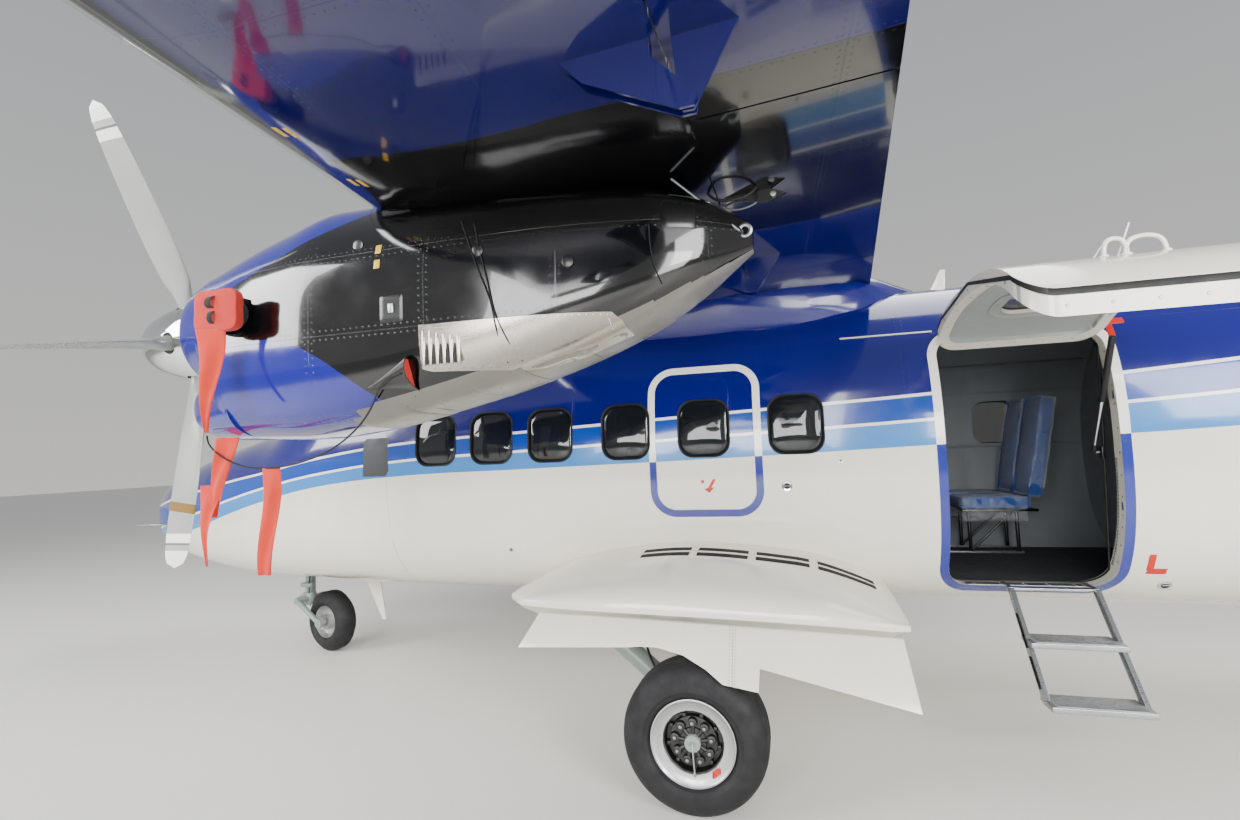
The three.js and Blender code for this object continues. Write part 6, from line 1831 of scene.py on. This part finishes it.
def body_details():
    marks = []
    for x, z, up in ((0.815, 2.345, -1), (0.905, 0.975, 1)):
        for corners, lift in ((oblong(x - 0.052, x + 0.052, z - 0.019, z + 0.019), 0.0015),
                              (oblong(x - 0.052, x - 0.014, z, z + up * 0.105), 0.002)):
            marks.append(body_mark("mark", corners, RED_PAINT, lift))
    marks.append(body_mark("arrow", [(-1.462, 1.470), (-1.438, 1.470), (-1.400, 1.535), (-1.424, 1.535)], RED_PAINT))
    marks.append(body_mark("arrow", [(-1.487, 1.472), (-1.450, 1.440), (-1.412, 1.482), (-1.450, 1.478)], RED_PAINT,
                           0.002))
    marks.append(body_mark("dot", oblong(-1.50, -1.478, 1.506, 1.528), RED_PAINT))
    ridden(joined("port_red_marks", marks))
    plate = body_mark("ice_guard", oblong(-4.015, -3.775, 1.600, 1.900), ICE_PLATE, 0.0035)
    both_sides("ice_guard_plate", [plate])
    fittings = []
    for x, z, radius in ((-0.980, 1.479, 0.032), (0.971, 0.889, 0.034), (-0.665, 1.620, 0.012), (-2.86, 1.07, 0.016)):
        at = Vector((x, body_side(x, z), z))
        way = Vector((0, -1, 0)) if z > 1.2 else Vector((0, -0.82, -0.57))
        fittings.append(turned("ring",
                               [(radius * 0.55, -0.004), (radius * 0.62, 0.004), (radius * 0.9, 0.0045),
                                (radius, 0.001), (radius, -0.006), (radius * 0.55, -0.006)], at, way, CHROME, 32))
        fittings.append(rod("cap", at - way * 0.004, at + way * 0.002, radius * 0.56, SEAL_RUBBER, 24, bevel=0.001))
        across = Vector((radius * 0.5, 0, 0))
        fittings.append(rod("bar", at - across + way * 0.003, at + across + way * 0.003, radius * 0.12, STEEL, 10))
    ridden(joined("port_service_fittings", fittings))

    beacons = []
    for at, way in (((-0.35, 0, 2.776), (0, 0, 1)), ((-1.9, 0, 0.684), (0, 0, -1))):
        at, way = Vector(at), Vector(way)
        beacons.append(rod("base", at - way * 0.01, at + way * 0.012, 0.055, ALUMINIUM, 36, bevel=0.003))
        beacons.append(rod("lens", at + way * 0.012, at + way * 0.072, 0.046, RED_LENS, 36, 0.034, 0.010))
    ridden(joined("body_beacons", beacons))
    whips = [tube("whip", [(1.05, 0, 2.772), (1.10, 0, 2.90), (1.21, 0, 3.04)], 0.005, WHITE_PAINT, 10),
             rod("pod", (-2.55, 0, 2.768), (-2.55, 0, 2.792), 0.05, WHITE_PAINT, 32, bevel=0.006)]
    ridden(joined("roof_whip_aerials", whips))
    y, z = body_side(-6.42, 1.22), 1.22
    route = [(-6.42, y + 0.01, z), (-6.44, y - 0.10, z)] + [(x, y - 0.125, z) for x in (-6.50, -6.62, -6.70)]
    foot = rod("foot", (-6.42, y + 0.012, z), (-6.423, y - 0.006, z), 0.028, STEEL, 24, bevel=0.002)
    both_sides("pitot_probe", [tube("probe", route, 0.009, STEEL, 12), foot])
    nose_side = body_length("finder", -5.95, -4.3, 30)
    on_glass = reach_map(nose_side)
    bpy.data.objects.remove(nose_side)

    def before_glass(y, z):
        return on_glass.ray_cast(Vector((-6.5, y, z)), Vector((1, 0, 0)))[0] + Vector((-0.012, 0, 0.004))
    wipers = []
    for y in (-0.10, -0.42):
        arm = [before_glass(y - 0.035 * i, 2.135 + 0.045 * i) for i in range(5)]
        blade_line = [before_glass(y - 0.205 + 0.05 * i, 2.300 + 0.012 * i) for i in range(5)]
        wipers.append(tube("arm", arm, 0.005, BLACK_PAINT, 8))
        wipers.append(tube("blade", blade_line, 0.0055, SEAL_RUBBER, 8))
        wipers.append(rod("pivot", arm[0] + Vector((0.02, 0, 0)), arm[0] - Vector((0.006, 0, 0)), 0.014, BLACK_PAINT,
                          16, bevel=0.002))
    both_sides("windscreen_wipers", wipers)
    lid, seams = oblong(-6.75, -6.10, 1.35, 1.60), []
    for a, b in zip(lid, lid[1:] + lid[:1]):
        middle = ((a[0] + b[0]) / 2, (a[1] + b[1]) / 2)
        seams.append(tube("seam", [(x, body_side(x, z) - 0.0002, z) for x, z in (a, middle, b)], 0.0016, SEAL_RUBBER,
                          6))
    for x in (-5.902, 1.391):
        route = [tuple(body_point(x, radians(a)) * 1.0003) for a in range(92, 269, 8)]
        seams.append(tube("seam", route, 0.0016, SEAL_RUBBER, 6))
    both_sides("body_seams", seams)
    both_sides("nose_gear_door_edge",
               [block("edge", (-5.44, -0.185, 0.688), (-4.86, -0.155, 0.745), WHITE_PAINT, 0.008)])


def wing_details():
    for side_name, sign in SIDES:
        skin = reach_map(bpy.data.objects[side_name + "_wing_skin"])
        marks = []
        for x, y in ((-2.492, 3.27), (-2.506, 2.907)):
            for k in (-0.022, 0.022):
                def under(u, v):
                    return x + k - 0.013 + 0.026 * u, sign * (y - 0.034 + 0.068 * v), 2.4
                marks.append(laid("dash", skin, under, (0, 0, 1), YELLOW_PAINT))
        ridden(joined(side_name + "_wing_marks", marks))
        caps = []
        for x, y in ((-1.95, 3.6), (-1.85, 6.9)):
            def above(u, v):
                a, reach = v * tau, 0.075 * u
                return x + reach * cos(a), sign * y + reach * sin(a), 3.7
            caps.append(laid("cap", skin, above, (0, 0, -1), ALUMINIUM, 0.003, 6, 32))
        for x, y, half in ((-1.95, 4.3, 0.11), (-1.95, 5.4, 0.11), (-1.9, 7.4, 0.10), (-1.9, 8.6, 0.10)):
            def below(u, v):
                return x - half + 2 * half * u, sign * y - half * 0.7 + 1.4 * half * v, 2.4
            caps.append(laid("hatch", skin, below, (0, 0, 1), NIGHT_PAINT, 0.002, 8, 8))
        ridden(joined(side_name + "_wing_caps", caps))
        hinge = []
        for y in (2.28, 4.6):
            top = 2.83 + (y - 2.28) * 0.03
            corners = ((-1.30, 0.02), (-1.02, -0.004), (-0.90, -0.055), (-0.98, -0.085), (-1.12, -0.050),
                       (-1.30, -0.010))
            arm = [Vector((x, sign * y - 0.006, top + dz)) for x, dz in corners]
            hinge.append(outline_solid("arm", arm, (0, 0.012, 0), BLACK_PAINT))
            pin = Vector((-0.955, sign * y, top - 0.056))
            hinge.append(rod("pin", pin - Vector((0, 0.022, 0)), pin + Vector((0, 0.022, 0)), 0.013, STEEL, 20,
                             bevel=0.002))
        hose = ((-1.22, 2.36, 2.80), (-1.20, 2.38, 2.745), (-1.12, 2.37, 2.735), (-1.04, 2.35, 2.76),
                (-1.02, 2.33, 2.80))
        pipe = ((-1.20, 2.20, 2.815), (-1.17, 2.19, 2.76), (-1.08, 2.19, 2.755), (-1.02, 2.20, 2.79))
        for title, route, radius, material in (("hose", hose, 0.006, SEAL_RUBBER), ("pipe", pipe, 0.004, STEEL)):
            hinge.append(tube(title, [(x, sign * y, z) for x, y, z in route], radius, material, 10))
        ridden(joined(side_name + "_flap_brackets", hinge))
        x, z, lens = -2.16, 3.108, RED_LENS if sign < 0 else GREEN_LENS
        lamp = [rod("base", (x, sign * 9.97, z), (x, sign * 9.99, z), 0.028, ALUMINIUM, 24, bevel=0.002),
                rod("lens", (x, sign * 9.982, z), (x, sign * 9.9995, z), 0.022, lens, 24, 0.014, 0.003)]
        for each in lamp:
            each.data.transform(Matrix.Translation((0, -sign * 0.010, 0)))
        ridden(joined(side_name + "_navigation_lamp", lamp))
        wicks = []
        for y in (7.0, 8.1, 9.1):
            chord = ROOT_CHORD - CHORD_LOSS * y / HALF_SPAN
            x = WING_LEAD + WING_SWEEP * y / HALF_SPAN + chord
            z = 2.81 + y * tan(radians(1.75)) - 0.5 * chord * sin(radians(2))
            wicks.append(rod("wick", (x - 0.03, sign * y, z + 0.003), (x + 0.11, sign * y, z - 0.004), 0.003,
                             BLACK_PAINT, 8, 0.0015))
        ridden(joined(side_name + "_aileron_wicks", wicks), side_name + "_aileron")


def cockpit_details():
    face = -5.0985
    dials = []
    for row, z in enumerate((1.86, 1.76)):
        for i in range(12):
            y = -0.56 + i * 0.102
            bezel = [(0.030, 0.0), (0.040, 0.0), (0.040, 0.006), (0.036, 0.009), (0.030, 0.006)]
            dials.append(turned("dial", bezel, (face, y, z), (1, 0, 0), BLACK_PAINT, 20))
            dials.append(rod("face", (face, y, z), (face + 0.003, y, z), 0.031, SEAL_RUBBER, 20))
            needle_end = (face + 0.004, y + 0.016, z + 0.012 - row * 0.02)
            dials.append(rod("needle", (face + 0.004, y, z), needle_end, 0.0012, WHITE_PAINT, 6))
    for y in (-0.09, -0.03, 0.03, 0.09):
        dials.append(rod("lever", (-4.98, y, 1.55), (-4.93, y, 1.68), 0.006, STEEL, 10))
        knob_paint = BLACK_PAINT if abs(y) > 0.05 else RED_PAINT
        dials.append(rod("knob", (-4.932, y, 1.672), (-4.924, y, 1.70), 0.016, knob_paint, 16, bevel=0.004))
    ridden(joined("cockpit_instruments", dials))
    yokes = []
    for y in (-0.43, 0.43):
        yokes.append(rod("column", (-4.90, y, 0.865), (-4.93, y, 1.52), 0.020, BLACK_PAINT, 16))
        grip = ((-0.16, 1.66), (-0.17, 1.60), (-0.12, 1.53), (0, 1.52), (0.12, 1.53), (0.17, 1.60), (0.16, 1.66))
        yokes.append(tube("wheel", [(-4.92, y + dy, z) for dy, z in grip], 0.013, BLACK_PAINT, 12))
        for low in (y - 0.15, y + 0.05):
            yokes.append(block("pedal", (-5.06, low, 0.93), (-5.03, low + 0.10, 1.05), STEEL, 0.004))
    ridden(joined("cockpit_controls", yokes))


def gear_details():
    links = []
    for way in (-1, 1):
        for a, b in (((-5.46, 0.505), (-5.565, 0.435)), ((-5.565, 0.435), (-5.475, 0.365))):
            corners = ((a, 0.017), (b, 0.012), (b, -0.012), (a, -0.017))
            arm = [Vector((end[0], way * 0.030 - 0.006, end[1] + dz)) for end, dz in corners]
            links.append(outline_solid("link", arm, (0, 0.012, 0), LEG_ENAMEL))
    links.append(rod("elbow", (-5.565, -0.045, 0.435), (-5.565, 0.045, 0.435), 0.013, STEEL, 20, bevel=0.002))
    links.append(rod("cylinder", (-5.49, -0.062, 0.575), (-5.36, -0.062, 0.575), 0.022, LEG_ENAMEL, 24, bevel=0.003))
    ridden(joined("nose_scissor_links", links), "nose_fork")
    route = [(-5.40, -0.05, 0.78), (-5.385, -0.075, 0.66), (-5.39, -0.08, 0.56), (-5.41, -0.06, 0.50)]
    ridden(tube("nose_leg_hose", route, 0.006, SEAL_RUBBER, 10))
    route = [(-1.80, -1.46, 0.70), (-1.74, -1.60, 0.60), (-1.66, -1.68, 0.52), (-1.58, -1.66, 0.44)]
    both_sides("brake_hose", [tube("brake_hose", route, 0.007, SEAL_RUBBER, 10)])
    panel = reach_map(bpy.data.objects["port_gear_door"])
    plate = laid("seam", panel, lambda u, v: (-1.262 + 0.003 * u, -2.3, 0.870 - 0.27 * v), (0, 1, 0), SEAL_RUBBER,
                 0.0008, 2, 24)
    heads = []
    for i in range(22):
        z = 0.865 - i * 0.012
        for x in (-1.275, -1.248):
            hit = panel.ray_cast(Vector((x, -2.3, z)), Vector((0, 1, 0)))[0]
            if hit:
                heads.append(rod("head", hit + Vector((0, 0.002, 0)), hit - Vector((0, 0.0015, 0)), 0.0026, STEEL, 8))
    both_sides("gear_panel_seam", [plate] + heads)


def tail_details():
    trims = []
    fin_at = reach_map(bpy.data.objects["rudder_skin"])
    for sign in (-1, 1):
        for z0, z1, x0, x1 in ((3.35, 4.25, -0.16, -0.157), (3.35, 3.353, -0.16, -0.01), (4.247, 4.25, -0.16, -0.01)):
            def start(u, v):
                z = z0 + (z1 - z0) * v
                rear = 6.54 + (z - 2.70) * 0.2077
                return rear + x0 + (x1 - x0) * u, sign * 0.4, z
            trims.append(laid("seam", fin_at, start, (0, -sign, 0), SEAL_RUBBER, 0.0008, 3, 24))
    ridden(joined("rudder_trim_outline", trims), "rudder")
    lamps = [rod("base", (6.02, 0, 5.828), (6.02, 0, 5.832), 0.050, ALUMINIUM, 30, bevel=0.001),
             rod("beacon", (6.02, 0, 5.829), (6.02, 0, 5.8335), 0.042, RED_LENS, 30, 0.034, 0.001)]
    ridden(joined("fin_beacon", lamps))
    for side_name, sign in SIDES:
        skin = reach_map(bpy.data.objects[side_name + "_elevator_skin"])
        seams = []
        for start_z, way in ((3.9, -1), (2.7, 1)):
            def start(u, v):
                return 6.02 + 0.003 * u - 0.05 * v, sign * (0.7 + 1.1 * v), start_z
            seams.append(laid("seam", skin, start, (0, 0, way), SEAL_RUBBER, 0.0008, 2, 24))
        ridden(joined(side_name + "_elevator_tab_seam", seams), side_name + "_elevator")


def aerials():
    dressed("belly_blade_aerial", "belly_aerial", WHITE_PAINT, slot="white_skin", bevel=0.003)
    dressed("roof_blade_aerial", "roof_aerial", WHITE_PAINT, slot="white_skin", bevel=0.002)


def stage():
    bare_scene()
    bpy.ops.mesh.primitive_plane_add(size=120)
    floor = bpy.context.object
    floor.name = "studio_floor"
    put_material(floor, finish_of("pale_studio_floor", base_color="#e4e2dc", roughness=0.42)[0])
    world = bpy.data.worlds.new("studio")
    bpy.context.scene.world = world
    world.use_nodes = True
    tree = world.node_tree
    background = tree.nodes["Background"]
    up = add(tree, "SeparateXYZ", add(tree, "TexCoord", output="Generated"), output=2)
    height = add(tree, "MapRange", up, -0.1, 0.7, 0, 1)
    sky = add(tree, "Mix", {0: height, 6: linear("#eceae6"), 7: linear("#b4b8be")})
    tree.links.new(sky, background.inputs["Color"])
    background.inputs["Strength"].default_value = 0.85
    for place, aim, size, watts in (((-3, -14, 5), (-1, 0, 1.4), 7, 2400), ((-12, -8, 6), (-3, -1, 1.8), 5, 1300),
                                    ((8, -10, 5), (0, -1, 1.5), 5, 1200), ((0, 4, 10), (0, 0, 2), 8, 900),
                                    ((1.5, -5.5, 2.6), (0.3, 0, 1.6), 1.6, 110)):
        bpy.ops.object.light_add(type="AREA", location=place)
        light = bpy.context.object
        light.data.size, light.data.energy = size, watts
        light.rotation_euler = (Vector(aim) - Vector(place)).to_track_quat("-Z", "Y").to_euler()


place_camera()
cabin()
nose_and_tail()
windows()
door()
doorway()
steps()
wings()
nacelle()
propellers()
exhaust_covers()
sponsons()
main_wheel("port", -1)
main_wheel("starboard", 1)
legs()
tail()
inside()
aerials()
body_details()
wing_details()
cockpit_details()
gear_details()
tail_details()
stage()
